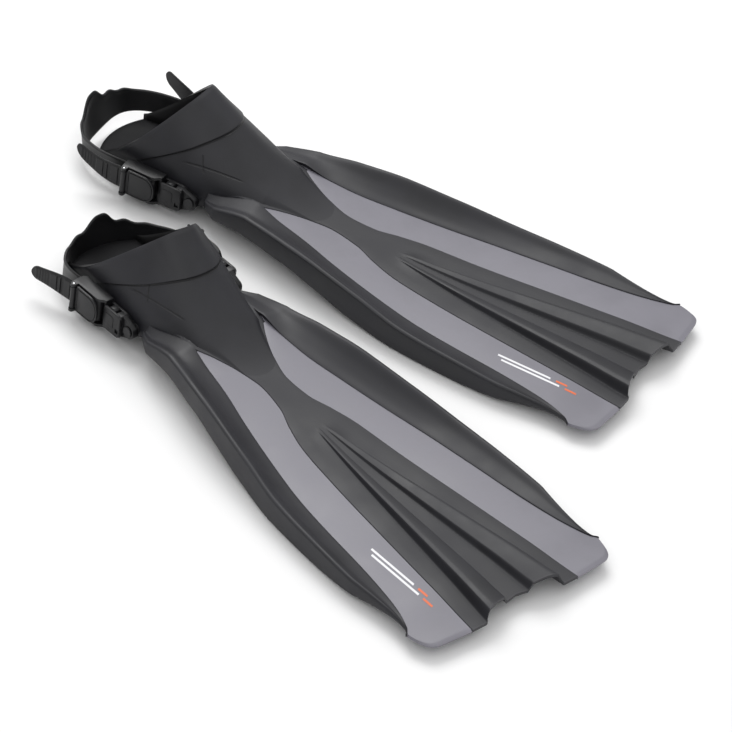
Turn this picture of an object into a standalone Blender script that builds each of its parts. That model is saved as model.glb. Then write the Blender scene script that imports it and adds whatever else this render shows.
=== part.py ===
"""Pair of open-heel swim fins with adjustable heel straps and side-release buckles.

Every fin is modelled in its own frame: the blade's tip corners lie on X = 0, the heel is
towards -X, Y is the fin's width and Z = 0 is the floor that the fin rests on.  Two empties
then lay the fins side by side, and the pair's frame has +X towards the tips.
"""

import math

import bmesh
import bpy
from mathutils import Matrix, Vector

# ---- driving dimensions, metres -----------------------------------------------------------
FIT_GAP = 0.0004            # clearance between pieces that touch

BLADE_LENGTH = 0.400        # tip corners to the pointed rear end of the grey panels
BLADE_HALF_WIDTH = 0.1135   # centre line to the outer ridge of a side rail at its widest
BLADE_THICKNESS = 0.0030    # grey panels and centre web
TIP_LIFT = 0.0140           # underside of the tip above the floor, at rest
BEND_START = 0.165          # the blade is flat from the tip to here
BEND_RADIUS = 1.25          # then it curves up to the foot pocket
TIP_BULGE = 0.0100          # how far the tip's middle reaches past its corners

FLUTE_LENGTH = 0.270        # tip corners to the start of the two flutes
FLUTE_HEIGHT = 0.0110       # crest above the blade, at the tip
FLUTE_VALLEY_HALF = 0.0125  # half the width of the valley between the flutes, at the tip
FLUTE_OUTER_HALF = 0.0440   # centre line to the outer wall of a flute, at the tip

RAIL_RISE = 0.0160          # highest that a rail's ridge stands above the panels
RAIL_ROOT = 0.0520          # how far a rail runs back past the panels' rear end
RAIL_ROOT_HEIGHT = 0.0285   # top of the rail's rounded rear end above the floor

FOOT_LENGTH = 0.184         # panels' rear end to the rear corners of the sole
FOOT_HALF_WIDTH = 0.0560    # half the outer width of the sole at its widest
HEEL_HALF_WIDTH = 0.0425    # half the outer width of the sole at its rear corners
HEEL_BULGE = 0.0115         # how far the sole's rear edge bows out
SOLE_THICKNESS = 0.0130
POCKET_WALL = 0.0035
RIM_TOP_SETBACK = {"near": 0.1050, "far": 0.0880}   # sole's rear corners to the rim's top
RIM_TOP_HEIGHT = 0.1075     # top of the rim above the floor
RIM_BULGE = 0.0130          # how far the rim's sides bow out past the sole
INSTEP_LENGTH = 0.060       # panels' rear end to the front of the instep, along the middle
TONGUE_SHARE = 0.40         # share of the quarter turn that lands between the panels' narrow part
TONGUE_SETBACK = 0.010      # the landing's narrow part, along the middle
COLLAR_WIDTH = 0.0420       # smooth band below the rim, along the instep
COLLAR_SIDE_SHARE = 0.60    # its width at the sides, as a share of that
COLLAR_REACH = 74.0         # degrees that it runs down each side
COLLAR_WALL = 0.0014

STRAP_WIDTH = 0.0240
STRAP_THICKNESS = 0.0022
STRAP_REACH = {"near": 0.0122, "far": 0.0240}   # strap's inside behind the sole's rear corners
STRAP_HEEL_DROP = {"near": (0.0105, 0.0105), "far": (0.0090, -0.0010)}   # at the heel, right and left
STRAP_LEAN = {"near": 0.0, "far": 0.0090}       # how far the tab's top leans back
STRAP_TAB_HEIGHT = 0.0215   # finger tab above the strap, at the back
STRAP_TAB_SHIFT = {"near": 0.0040, "far": -0.0080}  # tab's middle to the left of the fin's middle
STRAP_ROUND = {"near": 0.66, "far": 0.60}       # higher is a rounder turn at the heel
TAIL_LENGTH = {"near_right": 0.078, "near_left": 0.052, "far_right": 0.078, "far_left": 0.078}
TAIL_HELD = 0.0328          # part of a loose end, past the buckle's roller, that the buckle holds
TAIL_FLARE = {"near": 0.0120, "far": 0.0080}    # how far a loose end's tip stands out
TAIL_CURL = {"near": 0.0, "far": 0.0190}        # how far its tip rises
TAIL_CURL_POWER = {"near_right": 2.0, "near_left": 2.0, "far_right": 2.0, "far_left": 0.8}
TAIL_TIP_SHARE = 0.62       # its width at the tip, as a share of the strap's

STUD_SETBACK = 0.0640       # panels' rear end to the strap's studs
STUD_HEIGHT = 0.0250        # stud's axis above the floor
STUD_RADIUS = 0.0034
STUD_HEAD_RADIUS = 0.0054
STUD_HEAD_THICKNESS = 0.0014
STUD_FLANGE_THICKNESS = 0.0020

CLIP_LENGTH = 0.0310        # stud's axis to the receiver's open end
CLIP_HALF_HEIGHT = 0.0125
CLIP_THICKNESS = 0.0115     # receiver, across the fin
CLIP_WALL = 0.0022
CLIP_WINDOW = 0.0042        # square window in the receiver's outer face
EYE_THICKNESS = 0.0070
EYE_RIM = 0.0036            # wall of the receiver's eye around the stud

FRAME_LENGTH = 0.0420       # buckle frame behind the receiver
FRAME_CHEEK = 0.0030        # the frame's two side bars
FRAME_CROSS = 0.0032        # the bar across the frame's front
FRAME_THICKNESS = 0.0142    # buckle frame, across the fin, without the lever's lugs
ARM_LENGTH = 0.0190         # sprung release arms, past the frame
ARM_THICKNESS = 0.0028
ROLLER_RISE = 0.0080        # roller's axis above the frame's inner face
ROLLER_RADIUS = 0.0034
ROLLER_SETBACK = 0.0120     # frame's front face to the roller
LEVER_THICKNESS = 0.0022
LEVER_HALF_WIDTH = 0.0140
PIN_RADIUS = 0.0012
LUG_RADIUS = 0.0031         # ear of a cheek around the lever's pin

FIN_SPACING = 0.3385        # between the two fins' tips, across the pair
FIN_STAGGER = 0.1165        # how far the far fin lies back
FIN_TOE_OUT = 9.1           # degrees that each fin turns away from the pair's middle

# ---- shapes of the outlines, as shares of the blade's length and half width ----------------
PANEL_OUTER = ((1.0, 0.372), (0.93, 0.398), (0.86, 0.432), (0.76, 0.512), (0.63, 0.610),
               (0.50, 0.700), (0.38, 0.755), (0.25, 0.806), (0.13, 0.875), (0.06, 0.950),
               (0.0436, 1.0))
PANEL_INNER = ((1.0, 0.368), (0.955, 0.272), (0.89, 0.176), (0.825, 0.127), (0.76, 0.150),
               (0.70, 0.225), (0.63, 0.292), (0.50, 0.350), (0.25, 0.452), (-0.03, 0.558))
RIDGE_OUT = ((1.13, 0.585), (1.02, 0.610), (0.895, 0.705), (0.77, 0.794), (0.64, 0.873),
             (0.51, 0.950), (0.38, 0.986), (0.25, 1.004), (0.13, 1.006), (0.03, 0.995))
RIDGE_UP = ((1.13, 0.05), (1.02, 0.16), (0.895, 0.72), (0.77, 1.0), (0.64, 0.92),
            (0.51, 0.66), (0.38, 0.54), (0.25, 0.38), (0.13, 0.22), (0.03, 0.09))
RAIL_FOOT = ((1.16, 0.0170), (1.0, 0.0185), (0.86, 0.0170), (0.76, 0.0112), (0.65, 0.0036),
             (0.525, 0.0), (0.375, 0.0), (0.15, 0.0066), (0.03, 0.0128))


def along(table, share):
    """Smooth curve through the table's points, read at one share of the length."""
    points = sorted(table)
    if share <= points[0][0]:
        return points[0][1]
    if share >= points[-1][0]:
        return points[-1][1]
    slopes = [(b[1] - a[1]) / (b[0] - a[0]) for a, b in zip(points, points[1:])]
    tangents = [slopes[0]]
    for left, right in zip(slopes, slopes[1:]):
        tangents.append(0.0 if left * right <= 0 else 2 * left * right / (left + right))
    tangents.append(slopes[-1])
    for index, (a, b) in enumerate(zip(points, points[1:])):
        if a[0] <= share <= b[0]:
            span = b[0] - a[0]
            t = (share - a[0]) / span
            return ((2 * t ** 3 - 3 * t ** 2 + 1) * a[1] + (t ** 3 - 2 * t ** 2 + t) * span * tangents[index]
                    + (3 * t ** 2 - 2 * t ** 3) * b[1] + (t ** 3 - t ** 2) * span * tangents[index + 1])


def mix(a, b, t):
    return a + (b - a) * t


def smooth(t):
    t = min(max(t, 0.0), 1.0)
    return t * t * (3 - 2 * t)


def blade_top(x):
    """Height of the blade's upper face."""
    bend = max(0.0, -x - BEND_START)
    return TIP_LIFT + 0.0012 * smooth(-x / 0.05) + bend * bend / (2 * BEND_RADIUS)


def panel_outer(x):
    return BLADE_HALF_WIDTH * along(PANEL_OUTER, -x / BLADE_LENGTH)


def panel_inner(x):
    return BLADE_HALF_WIDTH * along(PANEL_INNER, -x / BLADE_LENGTH)


def tip_line(share):
    """X of the tip's edge; share is 0 at the centre web and 1 at the rail."""
    return TIP_BULGE - 0.003 * share - (TIP_BULGE - 0.003 + 0.0436 * BLADE_LENGTH) * share ** 12


# ---- mesh helpers --------------------------------------------------------------------------
def clear_scene():
    for thing in list(bpy.data.objects):
        bpy.data.objects.remove(thing, do_unlink=True)


def material(name, colour, roughness, metallic=0.0):
    made = bpy.data.materials.new(name)
    made.use_nodes = True
    shader = made.node_tree.nodes["Principled BSDF"]
    shader.inputs["Base Color"].default_value = (*colour, 1.0)
    shader.inputs["Roughness"].default_value = roughness
    shader.inputs["Metallic"].default_value = metallic
    return made


def add_mesh(name, builder, look, parent, collection, sharp_degrees=35):
    """Turn a bmesh into a named part under the fin's empty."""
    bmesh.ops.remove_doubles(builder, verts=builder.verts, dist=1e-6)
    bmesh.ops.recalc_face_normals(builder, faces=builder.faces)
    mesh = bpy.data.meshes.new(name)
    builder.to_mesh(mesh)
    builder.free()
    mesh.shade_smooth()
    mesh.set_sharp_from_angle(angle=math.radians(sharp_degrees))
    shade = material(name, *look)
    mesh.materials.append(shade)
    part = bpy.data.objects.new(name, mesh)
    part.parent = parent
    collection.objects.link(part)
    return part


def ring_loft(rings):
    """Closed body through rings with the same number of points, capped at both ends."""
    builder = bmesh.new()
    rows = [[builder.verts.new(point) for point in ring] for ring in rings]
    count = len(rings[0])
    for near, far in zip(rows, rows[1:]):
        for index in range(count):
            after = (index + 1) % count
            builder.faces.new((near[index], near[after], far[after], far[index]))
    builder.faces.new(rows[0])
    builder.faces.new(rows[-1])
    return builder


def shell_loft(sections):
    """Closed thin body: every section is a list of (outer point, inner point) pairs."""
    builder = bmesh.new()
    outer = [[builder.verts.new(pair[0]) for pair in section] for section in sections]
    inner = [[builder.verts.new(pair[1]) for pair in section] for section in sections]
    rows, columns = len(sections), len(sections[0])
    for row in range(rows - 1):
        for column in range(columns - 1):
            for grid in (outer, inner):
                builder.faces.new((grid[row][column], grid[row][column + 1],
                                   grid[row + 1][column + 1], grid[row + 1][column]))
        for column in (0, columns - 1):
            builder.faces.new((outer[row][column], outer[row + 1][column],
                               inner[row + 1][column], inner[row][column]))
    for row in (0, rows - 1):
        for column in range(columns - 1):
            builder.faces.new((outer[row][column], outer[row][column + 1],
                               inner[row][column + 1], inner[row][column]))
    return builder


def add_box(builder, low, high):
    """Add a box between two corners to a bmesh."""
    low, high = [Vector(map(pick, zip(low, high))) for pick in (min, max)]
    place = Matrix.Translation((low + high) / 2) @ Matrix.Diagonal((*(high - low), 1.0))
    bmesh.ops.create_cube(builder, size=1.0, matrix=place)


def add_rod(builder, start, end, radius, sides=20):
    """Add a cylinder between two points to a bmesh."""
    start, end = Vector(start), Vector(end)
    turn = (end - start).to_track_quat('Z', 'Y').to_matrix().to_4x4()
    place = Matrix.Translation((start + end) / 2) @ turn
    bmesh.ops.create_cone(builder, cap_ends=True, segments=sides, radius1=radius, radius2=radius,
                          depth=(end - start).length, matrix=place)


def cutter_from(name, builder, parent, cutters):
    mesh = bpy.data.meshes.new(name)
    builder.to_mesh(mesh)
    builder.free()
    tool = bpy.data.objects.new(name, mesh)
    tool.parent = parent
    tool.hide_render = True
    tool.display_type = 'WIRE'
    cutters.objects.link(tool)
    return tool


def boolean(part, tool, operation):
    step = part.modifiers.new(tool.name, 'BOOLEAN')
    step.object = tool
    step.operation = operation
    step.solver = 'EXACT'
    step.use_self = True


# ---- blade ---------------------------------------------------------------------------------
def stations(start, end, count):
    return [mix(start, end, index / (count - 1)) for index in range(count)]


def blade_panel(side):
    """Grey panel between the centre web and a rail, pointed at the rear."""
    rows, columns = 15, 7
    sections = []
    rear = -BLADE_LENGTH + 0.004
    for v in stations(0.0, 1.0, rows):
        section = []
        for column in range(columns):
            s = math.sin(column / (columns - 1) * math.pi / 2)
            x = mix(rear, tip_line(s), v)
            inner = panel_inner(x) + FIT_GAP
            outer = panel_outer(x) - 2 * FIT_GAP
            y = mix(inner, outer, s)
            top = blade_top(x)
            section.append(((x, side * y, top), (x, side * y, top - BLADE_THICKNESS)))
        sections.append(section)
    return shell_loft(sections)


def flute_profile(share, growth):
    """Height of the centre web above the blade; share is |Y| over the flute's outer wall."""
    valley = FLUTE_VALLEY_HALF / FLUTE_OUTER_HALF
    step_end = valley + 0.07
    if share <= valley:
        return 0.0
    if share <= step_end:
        return growth * 0.55 * (share - valley) / (step_end - valley)
    if share <= 0.90:
        crest = (share - step_end) / (0.90 - step_end)
        return growth * (0.55 + 0.45 * math.sin(min(crest / 0.72, 1.0) * math.pi / 2)
                         - 0.10 * smooth((crest - 0.72) / 0.28))
    return growth * 0.90 * max(0.0, (1.0 - share) / 0.10)


def flute_web():
    """Black web between the panels, with two flutes that grow towards the tip."""
    shares = [0.0, 0.284, 0.354, 0.45, 0.57, 0.70, 0.80, 0.90, 1.0]
    sections = []
    rear = -BLADE_LENGTH + FIT_GAP
    for v in stations(0.0, 1.0, 19):
        half = []
        for share in shares + [1.03, 1.5, 2.0]:
            x = mix(rear, TIP_BULGE - 0.013 * max(0.0, 1.0 - share) ** 0.5, v)
            edge = panel_inner(x) - FIT_GAP
            ahead = max(0.0, (x + FLUTE_LENGTH) / FLUTE_LENGTH)
            grown = smooth(ahead / 0.07) * min(1.0, ahead ** 0.8)
            wall = mix(0.0050, FLUTE_OUTER_HALF, ahead)
            wall = min(wall, edge * 0.92)
            y = share * wall if share <= 1.0 else mix(wall, edge, share - 1.0)
            top = blade_top(x) + flute_profile(min(share, 1.0), FLUTE_HEIGHT * grown)
            half.append((x, y, top))
        full = [(x, -y, z) for x, y, z in reversed(half[1:])] + half
        sections.append([((x, y, z), (x, y, z - BLADE_THICKNESS)) for x, y, z in full])
    return shell_loft(sections)


def side_rail(side):
    """Stiff rubber rail along one edge, tallest near the foot and pointed at the tip."""
    rear = -BLADE_LENGTH - RAIL_ROOT
    front = -0.0445 * BLADE_LENGTH
    rings = []
    for v in stations(0.0, 1.0, 22):
        x = mix(rear, front, v)
        share = -x / BLADE_LENGTH
        seam = panel_outer(x) if share <= 1.0 else sole_half(x) + 0.0014 * smooth((share - 1.0) / 0.02)
        seam += 0.0002 + 0.0012 * smooth((v - 0.9) / 0.1)
        top = blade_top(max(x, -BLADE_LENGTH))
        top = mix(top, RAIL_ROOT_HEIGHT, smooth((share - 1.0) * BLADE_LENGTH / RAIL_ROOT))
        close = min(1.0, 0.35 + math.sqrt(max(0.0, 1.0 - v)) * 2.2, 0.45 + math.sqrt(v) * 2.5)
        width = max(BLADE_HALF_WIDTH * along(RIDGE_OUT, share) - seam, 0.002) * close
        ridge_y = seam + width
        ridge_z = top + RAIL_RISE * along(RIDGE_UP, share) * close + 0.0005
        foot = min(mix(top - BLADE_THICKNESS, along(RAIL_FOOT, share), close), top - BLADE_THICKNESS)
        tall = ridge_z - foot
        outline = [(seam, top + 0.0004), (seam + 0.30 * width, mix(top, ridge_z, 0.16) + 0.0002),
                   (seam + 0.62 * width, mix(top, ridge_z, 0.55)), (seam + 0.86 * width, mix(top, ridge_z, 0.92)),
                   (seam + 0.97 * width, ridge_z), (ridge_y + 0.0006, ridge_z - min(0.0016, 0.2 * tall)),
                   (ridge_y + 0.0010, mix(ridge_z, foot, 0.55)),
                   (ridge_y - min(0.0004, 0.1 * width), foot + min(0.0012, 0.2 * tall)),
                   (ridge_y - min(0.0020, 0.25 * width), foot),
                   (seam + 0.55 * width, mix(foot, top - BLADE_THICKNESS, 0.25)), (seam, top - BLADE_THICKNESS)]
        rings.append([(x, side * y, z) for y, z in outline])
    return ring_loft(rings)


# ---- foot pocket ---------------------------------------------------------------------------
SOLE_REAR = -BLADE_LENGTH - FOOT_LENGTH
SOLE_FRONT = -BLADE_LENGTH - FIT_GAP


def sole_half(x):
    """Half the outer width of the sole."""
    t = (x - SOLE_REAR) / FOOT_LENGTH
    rear = mix(HEEL_HALF_WIDTH, FOOT_HALF_WIDTH, math.sin(min(t / 0.45, 1.0) * math.pi / 2))
    return mix(rear, panel_outer(-BLADE_LENGTH), smooth((t - 0.55) / 0.45))


def sole_top(x):
    """Height of the footbed's upper face."""
    rise = blade_top(-BLADE_LENGTH) - SOLE_THICKNESS
    return SOLE_THICKNESS + rise * smooth((x - SOLE_REAR) / FOOT_LENGTH)


def sole_under(x):
    """Height of the sole's underside: flat on the floor at the heel, then rising."""
    t = (x - SOLE_REAR) / FOOT_LENGTH
    return (sole_top(SOLE_FRONT) - 0.008) * smooth((t - 0.30) / 0.70)


def footbed():
    sections = []
    inset = POCKET_WALL + 3 * FIT_GAP
    for x in stations(SOLE_REAR, SOLE_FRONT, 11):
        half = sole_half(x) - inset
        bow = HEEL_BULGE * (1 - smooth((x - SOLE_REAR) / (0.35 * FOOT_LENGTH)))
        section = []
        for y in stations(-1.0, 1.0, 7):
            px = x - bow * (1 - y * y)
            section.append(((px, y * half, sole_top(x)), (px, y * half, sole_under(x))))
        sections.append(section)
    return shell_loft(sections)


def rim_point(angle, setback):
    """Point of the pocket's outer rim; angle is 0 at the top and +-90 degrees at the sole."""
    lift = math.cos(angle)
    x = SOLE_REAR + setback * lift ** 0.8
    z = mix(SOLE_THICKNESS + 0.0035, RIM_TOP_HEIGHT, lift)
    half = HEEL_HALF_WIDTH + RIM_BULGE * math.sin(math.pi * min(lift * 1.1, 1.0))
    return Vector((x, half * math.copysign(abs(math.sin(angle)) ** 0.72, angle), z))


def front_point(angle):
    """Point where the pocket's outer surface lands on the blade, beside the panels' inner edges."""
    turn = abs(angle) / (math.pi / 2)
    narrow = INSTEP_LENGTH - TONGUE_SETBACK - BLADE_LENGTH
    if turn > TONGUE_SHARE:
        x = mix(narrow, -BLADE_LENGTH, smooth((turn - TONGUE_SHARE) / (1 - TONGUE_SHARE)))
        wide = panel_inner(x) - 0.003
    else:
        x = narrow + TONGUE_SETBACK * (1 - (turn / TONGUE_SHARE) ** 2)
        wide = (panel_inner(narrow) - 0.003) * turn / TONGUE_SHARE
    return Vector((x, math.copysign(wide, angle), blade_top(x) + FIT_GAP + POCKET_WALL))


def pocket_point(angle, v, setback):
    """Point of the pocket's outer surface, from the rim (v = 0) to the blade (v = 1)."""
    rim, front = rim_point(angle, setback), front_point(angle)
    point = rim.lerp(front, v)
    side = abs(math.sin(angle))
    wall = sole_half(point.x) if point.x < -BLADE_LENGTH else panel_inner(point.x)
    full = wall - abs(rim.y) * (1 - v) - abs(front.y) * v
    point.y += math.copysign(max(full, 0.0) * side ** 2 * math.sin(math.pi * v) ** 0.7, angle)
    point.z -= 0.010 * math.cos(angle) * math.sin(math.pi * v)
    point.z = max(point.z, wall_foot(point.x))
    return point


def wall_foot(x):
    """Height of the pocket wall's lower edge: beside the sole, then on top of the blade."""
    beside = sole_under(min(x, -BLADE_LENGTH)) + 0.0045
    return mix(beside, blade_top(x) + 3 * FIT_GAP, smooth((x + BLADE_LENGTH + 0.030) / 0.010))


def pocket_pair(angle, v, setback, depth, lift=0.0):
    """Outer point moved out by lift, and the point under it, depth further in."""
    step = 0.01
    low, high = max(angle - step, -math.pi / 2), min(angle + step, math.pi / 2)
    across = pocket_point(high, v, setback) - pocket_point(low, v, setback)
    ahead, behind = min(v + step, 1.0), max(v - step, 0.0)
    down = pocket_point(angle, ahead, setback) - pocket_point(angle, behind, setback)
    point = pocket_point(angle, v, setback)
    outward = Vector((0.0, point.y * 40, 1.0)).normalized()
    normal = down.cross(across).normalized().lerp(outward, smooth((v - 0.55) / 0.25)).normalized()
    outer, inner = point + normal * lift, point + normal * (lift - depth)
    for spot in (outer, inner):
        spot.z = max(spot.z, wall_foot(spot.x))
    if v > 0.5 and abs(inner.y) < sole_half(min(inner.x, SOLE_FRONT)) - POCKET_WALL:
        floor = sole_top(inner.x) if inner.x < SOLE_FRONT else blade_top(inner.x)
        inner.z = max(inner.z, floor + 3 * FIT_GAP)
        outer.z = max(outer.z, inner.z + FIT_GAP)
    return outer, inner


def foot_pocket(setback):
    sections = []
    for v in stations(0.0, 1.0, 11):
        section = []
        for angle in stations(-math.pi / 2, math.pi / 2, 21):
            section.append(pocket_pair(angle, v, setback, POCKET_WALL))
        sections.append(section)
    return shell_loft(sections)


def collar(setback):
    """Smooth raised band around the opening, just outside the pocket."""
    sections = []
    length = (rim_point(0.0, setback) - front_point(0.0)).length
    for v in stations(0.0, COLLAR_WIDTH / length, 4):
        section = []
        for angle in stations(-math.radians(COLLAR_REACH), math.radians(COLLAR_REACH), 21):
            wide = mix(COLLAR_SIDE_SHARE, 1.0, math.cos(angle * 90 / COLLAR_REACH))
            section.append(pocket_pair(angle, v * wide, setback, COLLAR_WALL, COLLAR_WALL + 2 * FIT_GAP))
        sections.append(section)
    return shell_loft(sections)


# ---- strap and buckles ---------------------------------------------------------------------
STUD_X = -BLADE_LENGTH - STUD_SETBACK
STUD_BASE = FOOT_HALF_WIDTH + FIT_GAP
EYE_BASE = STUD_BASE + STUD_FLANGE_THICKNESS + FIT_GAP
STUD_TIP = EYE_BASE + EYE_THICKNESS + FIT_GAP
CLIP_LOW = EYE_BASE
CLIP_HIGH = CLIP_LOW + CLIP_THICKNESS
FRAME_FRONT = CLIP_LENGTH + FIT_GAP
FRAME_REAR = FRAME_FRONT + FRAME_LENGTH
FRAME_LOW = CLIP_LOW
FRAME_HIGH = FRAME_LOW + FRAME_THICKNESS
ROLLER_U = FRAME_FRONT + ROLLER_SETBACK
ROLLER_N = FRAME_LOW + ROLLER_RISE
WRAP = ROLLER_RADIUS + FIT_GAP
EYE_RADIUS = STUD_RADIUS + FIT_GAP + EYE_RIM
TONGUE_LOW = CLIP_LOW + CLIP_WALL + FIT_GAP
TONGUE_HIGH = CLIP_HIGH - CLIP_WALL - FIT_GAP
TONGUE_HALF = 0.0026
ARM_LOW = 0.0054
PAD_START = CLIP_LENGTH - 0.0125
PAD_LENGTH = 0.0090
PAD_TOP = CLIP_HALF_HEIGHT + 0.0008
LEVER_LOW = ROLLER_N + WRAP + STRAP_THICKNESS + 2 * FIT_GAP
LEVER_BARREL = PIN_RADIUS + FIT_GAP + 0.0011
LEVER_PIN_U = FRAME_REAR - 0.0042
LEVER_PIN_N = LEVER_LOW + LEVER_BARREL
LEVER_FRONT_U = FRAME_FRONT + FRAME_CROSS


def at(side, u, n, z):
    """Fin coordinates of a buckle point: u behind the stud, n out from the middle, z up from it."""
    return (STUD_X - u, side * n, STUD_HEIGHT + z)


def strap_stud(side):
    builder = bmesh.new()
    add_rod(builder, at(side, 0, STUD_BASE, 0), at(side, 0, STUD_BASE + STUD_FLANGE_THICKNESS, 0),
            STUD_HEAD_RADIUS)
    return builder


def receiver(side, parent, cutters):
    """Clip that turns on the stud: an eye, and a box that is open at the rear."""
    builder = bmesh.new()
    add_box(builder, at(side, EYE_RADIUS * 0.7, CLIP_LOW, -CLIP_HALF_HEIGHT),
            at(side, CLIP_LENGTH, CLIP_HIGH, CLIP_HALF_HEIGHT))
    eye = bmesh.new()
    add_rod(eye, at(side, 0, EYE_BASE, 0), at(side, 0, EYE_BASE + EYE_THICKNESS, 0), EYE_RADIUS, 28)
    hole = bmesh.new()
    add_rod(hole, at(side, 0, EYE_BASE - 0.01, 0), at(side, 0, CLIP_HIGH + 0.01, 0), STUD_RADIUS + FIT_GAP, 24)
    head_room = STUD_HEAD_RADIUS + 2 * FIT_GAP
    add_box(hole, at(side, -head_room, STUD_TIP - FIT_GAP, -CLIP_HALF_HEIGHT - 0.01),
            at(side, head_room, CLIP_HIGH + 0.01, CLIP_HALF_HEIGHT + 0.01))
    slot = bmesh.new()
    add_box(slot, at(side, head_room + CLIP_WALL, CLIP_LOW + CLIP_WALL, -CLIP_HALF_HEIGHT + CLIP_WALL),
            at(side, CLIP_LENGTH + 0.01, CLIP_HIGH - CLIP_WALL, CLIP_HALF_HEIGHT - CLIP_WALL))
    add_box(slot, at(side, PAD_START - 3 * FIT_GAP, CLIP_LOW + CLIP_WALL, -CLIP_HALF_HEIGHT - 0.01),
            at(side, CLIP_LENGTH + 0.01, CLIP_HIGH - CLIP_WALL, CLIP_HALF_HEIGHT + 0.01))
    window = (head_room + CLIP_WALL + 0.001, head_room + CLIP_WALL + 0.001 + CLIP_WINDOW)
    add_box(slot, at(side, window[0], CLIP_HIGH - CLIP_WALL - 0.001, -CLIP_HALF_HEIGHT + 0.0045),
            at(side, window[1], CLIP_HIGH + 0.001, -CLIP_HALF_HEIGHT + 0.0045 + CLIP_WINDOW))
    word = "right" if side < 0 else "left"
    tools = [cutter_from(parent.name + "_" + kind + "_" + word, mesh, parent, cutters)
             for kind, mesh in (("eye", eye), ("eye_hole", hole), ("clip_slot", slot))]
    return builder, list(zip(tools, ('UNION', 'DIFFERENCE', 'DIFFERENCE')))


def buckle_frame(side, parent, cutters):
    """Two cheeks joined by a cross bar, a roller for the strap and a tongue for the receiver."""
    half = STRAP_WIDTH / 2 + 2 * FIT_GAP
    outer = half + FRAME_CHEEK
    builder = bmesh.new()
    add_box(builder, at(side, FRAME_FRONT, FRAME_LOW, -outer), at(side, FRAME_REAR, FRAME_HIGH, outer))
    gap = bmesh.new()
    add_box(gap, at(side, FRAME_FRONT + FRAME_CROSS, FRAME_LOW - 0.01, -half),
            at(side, FRAME_REAR + 0.01, FRAME_HIGH + 0.01, half))
    add_box(gap, at(side, FRAME_FRONT - 0.001, CLIP_HIGH - CLIP_WALL - FIT_GAP, -outer - 0.001),
            at(side, FRAME_FRONT + FRAME_CROSS - 0.0010, FRAME_HIGH + 0.01, outer + 0.001))
    add_rod(gap, at(side, LEVER_PIN_U, LEVER_PIN_N, -0.03), at(side, LEVER_PIN_U, LEVER_PIN_N, 0.03),
            PIN_RADIUS + FIT_GAP, 16)
    lugs = bmesh.new()
    add_rod(lugs, at(side, LEVER_PIN_U, LEVER_PIN_N, -outer + 0.0003),
            at(side, LEVER_PIN_U, LEVER_PIN_N, outer - 0.0003), LUG_RADIUS, 20)
    add_box(lugs, at(side, LEVER_PIN_U - 0.8 * LUG_RADIUS, FRAME_HIGH - 0.002, -outer + 0.0003),
            at(side, LEVER_PIN_U + 0.8 * LUG_RADIUS, LEVER_PIN_N, outer - 0.0003))
    bars = bmesh.new()
    add_rod(bars, at(side, ROLLER_U, ROLLER_N, -outer + 0.001), at(side, ROLLER_U, ROLLER_N, outer - 0.001),
            ROLLER_RADIUS, 20)
    tongue = bmesh.new()
    add_box(tongue, at(side, FRAME_FRONT - ARM_LENGTH + 0.004, TONGUE_LOW, -TONGUE_HALF),
            at(side, FRAME_FRONT + 0.002, TONGUE_HIGH, TONGUE_HALF))
    word = "right" if side < 0 else "left"
    tools = [cutter_from(parent.name + "_" + kind + "_" + word, mesh, parent, cutters)
             for kind, mesh in (("lugs", lugs), ("frame_gap", gap), ("roller", bars), ("tongue", tongue))]
    return builder, list(zip(tools, ('UNION', 'DIFFERENCE', 'UNION', 'UNION')))


def release_arm(side, up):
    """Sprung arm of the buckle, with a finger pad that stands in the receiver's side slot."""
    low, high = ARM_LOW, ARM_LOW + ARM_THICKNESS
    builder = bmesh.new()
    add_box(builder, at(side, FRAME_FRONT - ARM_LENGTH, TONGUE_LOW, up * low),
            at(side, FRAME_FRONT - FIT_GAP, TONGUE_HIGH, up * high))
    pad = bmesh.new()
    add_box(pad, at(side, PAD_START, TONGUE_LOW, up * (high - 0.0006)),
            at(side, PAD_START + PAD_LENGTH, TONGUE_HIGH, up * PAD_TOP))
    return builder, pad


def lever(side):
    """Cover plate over the strap and the cheeks, round at its free front end."""
    half = LEVER_HALF_WIDTH
    rear = LEVER_PIN_U - LUG_RADIUS - 2 * FIT_GAP
    low, high = LEVER_LOW, LEVER_LOW + LEVER_THICKNESS
    rows = []
    for n in (low, high):
        ring = [at(side, rear, n, -half), at(side, rear, n, half)]
        radius = half * 0.85
        for angle in stations(90.0, -90.0, 13):
            turn = math.radians(angle)
            corner = math.copysign(half - radius, turn) if abs(turn) > 1e-6 else 0.0
            ring.append(at(side, LEVER_FRONT_U + radius - radius * math.cos(turn), n,
                           corner + radius * math.sin(turn)))
        rows.append(ring)
    return ring_loft(rows)


def lever_barrel(side):
    builder = bmesh.new()
    half = STRAP_WIDTH / 2
    add_rod(builder, at(side, LEVER_PIN_U, LEVER_PIN_N, -half), at(side, LEVER_PIN_U, LEVER_PIN_N, half),
            LEVER_BARREL, 20)
    add_box(builder, at(side, LEVER_PIN_U - 0.0045, LEVER_LOW + 0.0002, -half + 0.0004),
            at(side, LEVER_PIN_U, LEVER_LOW + LEVER_THICKNESS - 0.0002, half - 0.0004))
    return builder


def lever_pin(side):
    reach = STRAP_WIDTH / 2 + 2 * FIT_GAP + FRAME_CHEEK
    builder = bmesh.new()
    add_rod(builder, at(side, LEVER_PIN_U, LEVER_PIN_N, -reach), at(side, LEVER_PIN_U, LEVER_PIN_N, reach),
            PIN_RADIUS, 14)
    return builder


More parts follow.
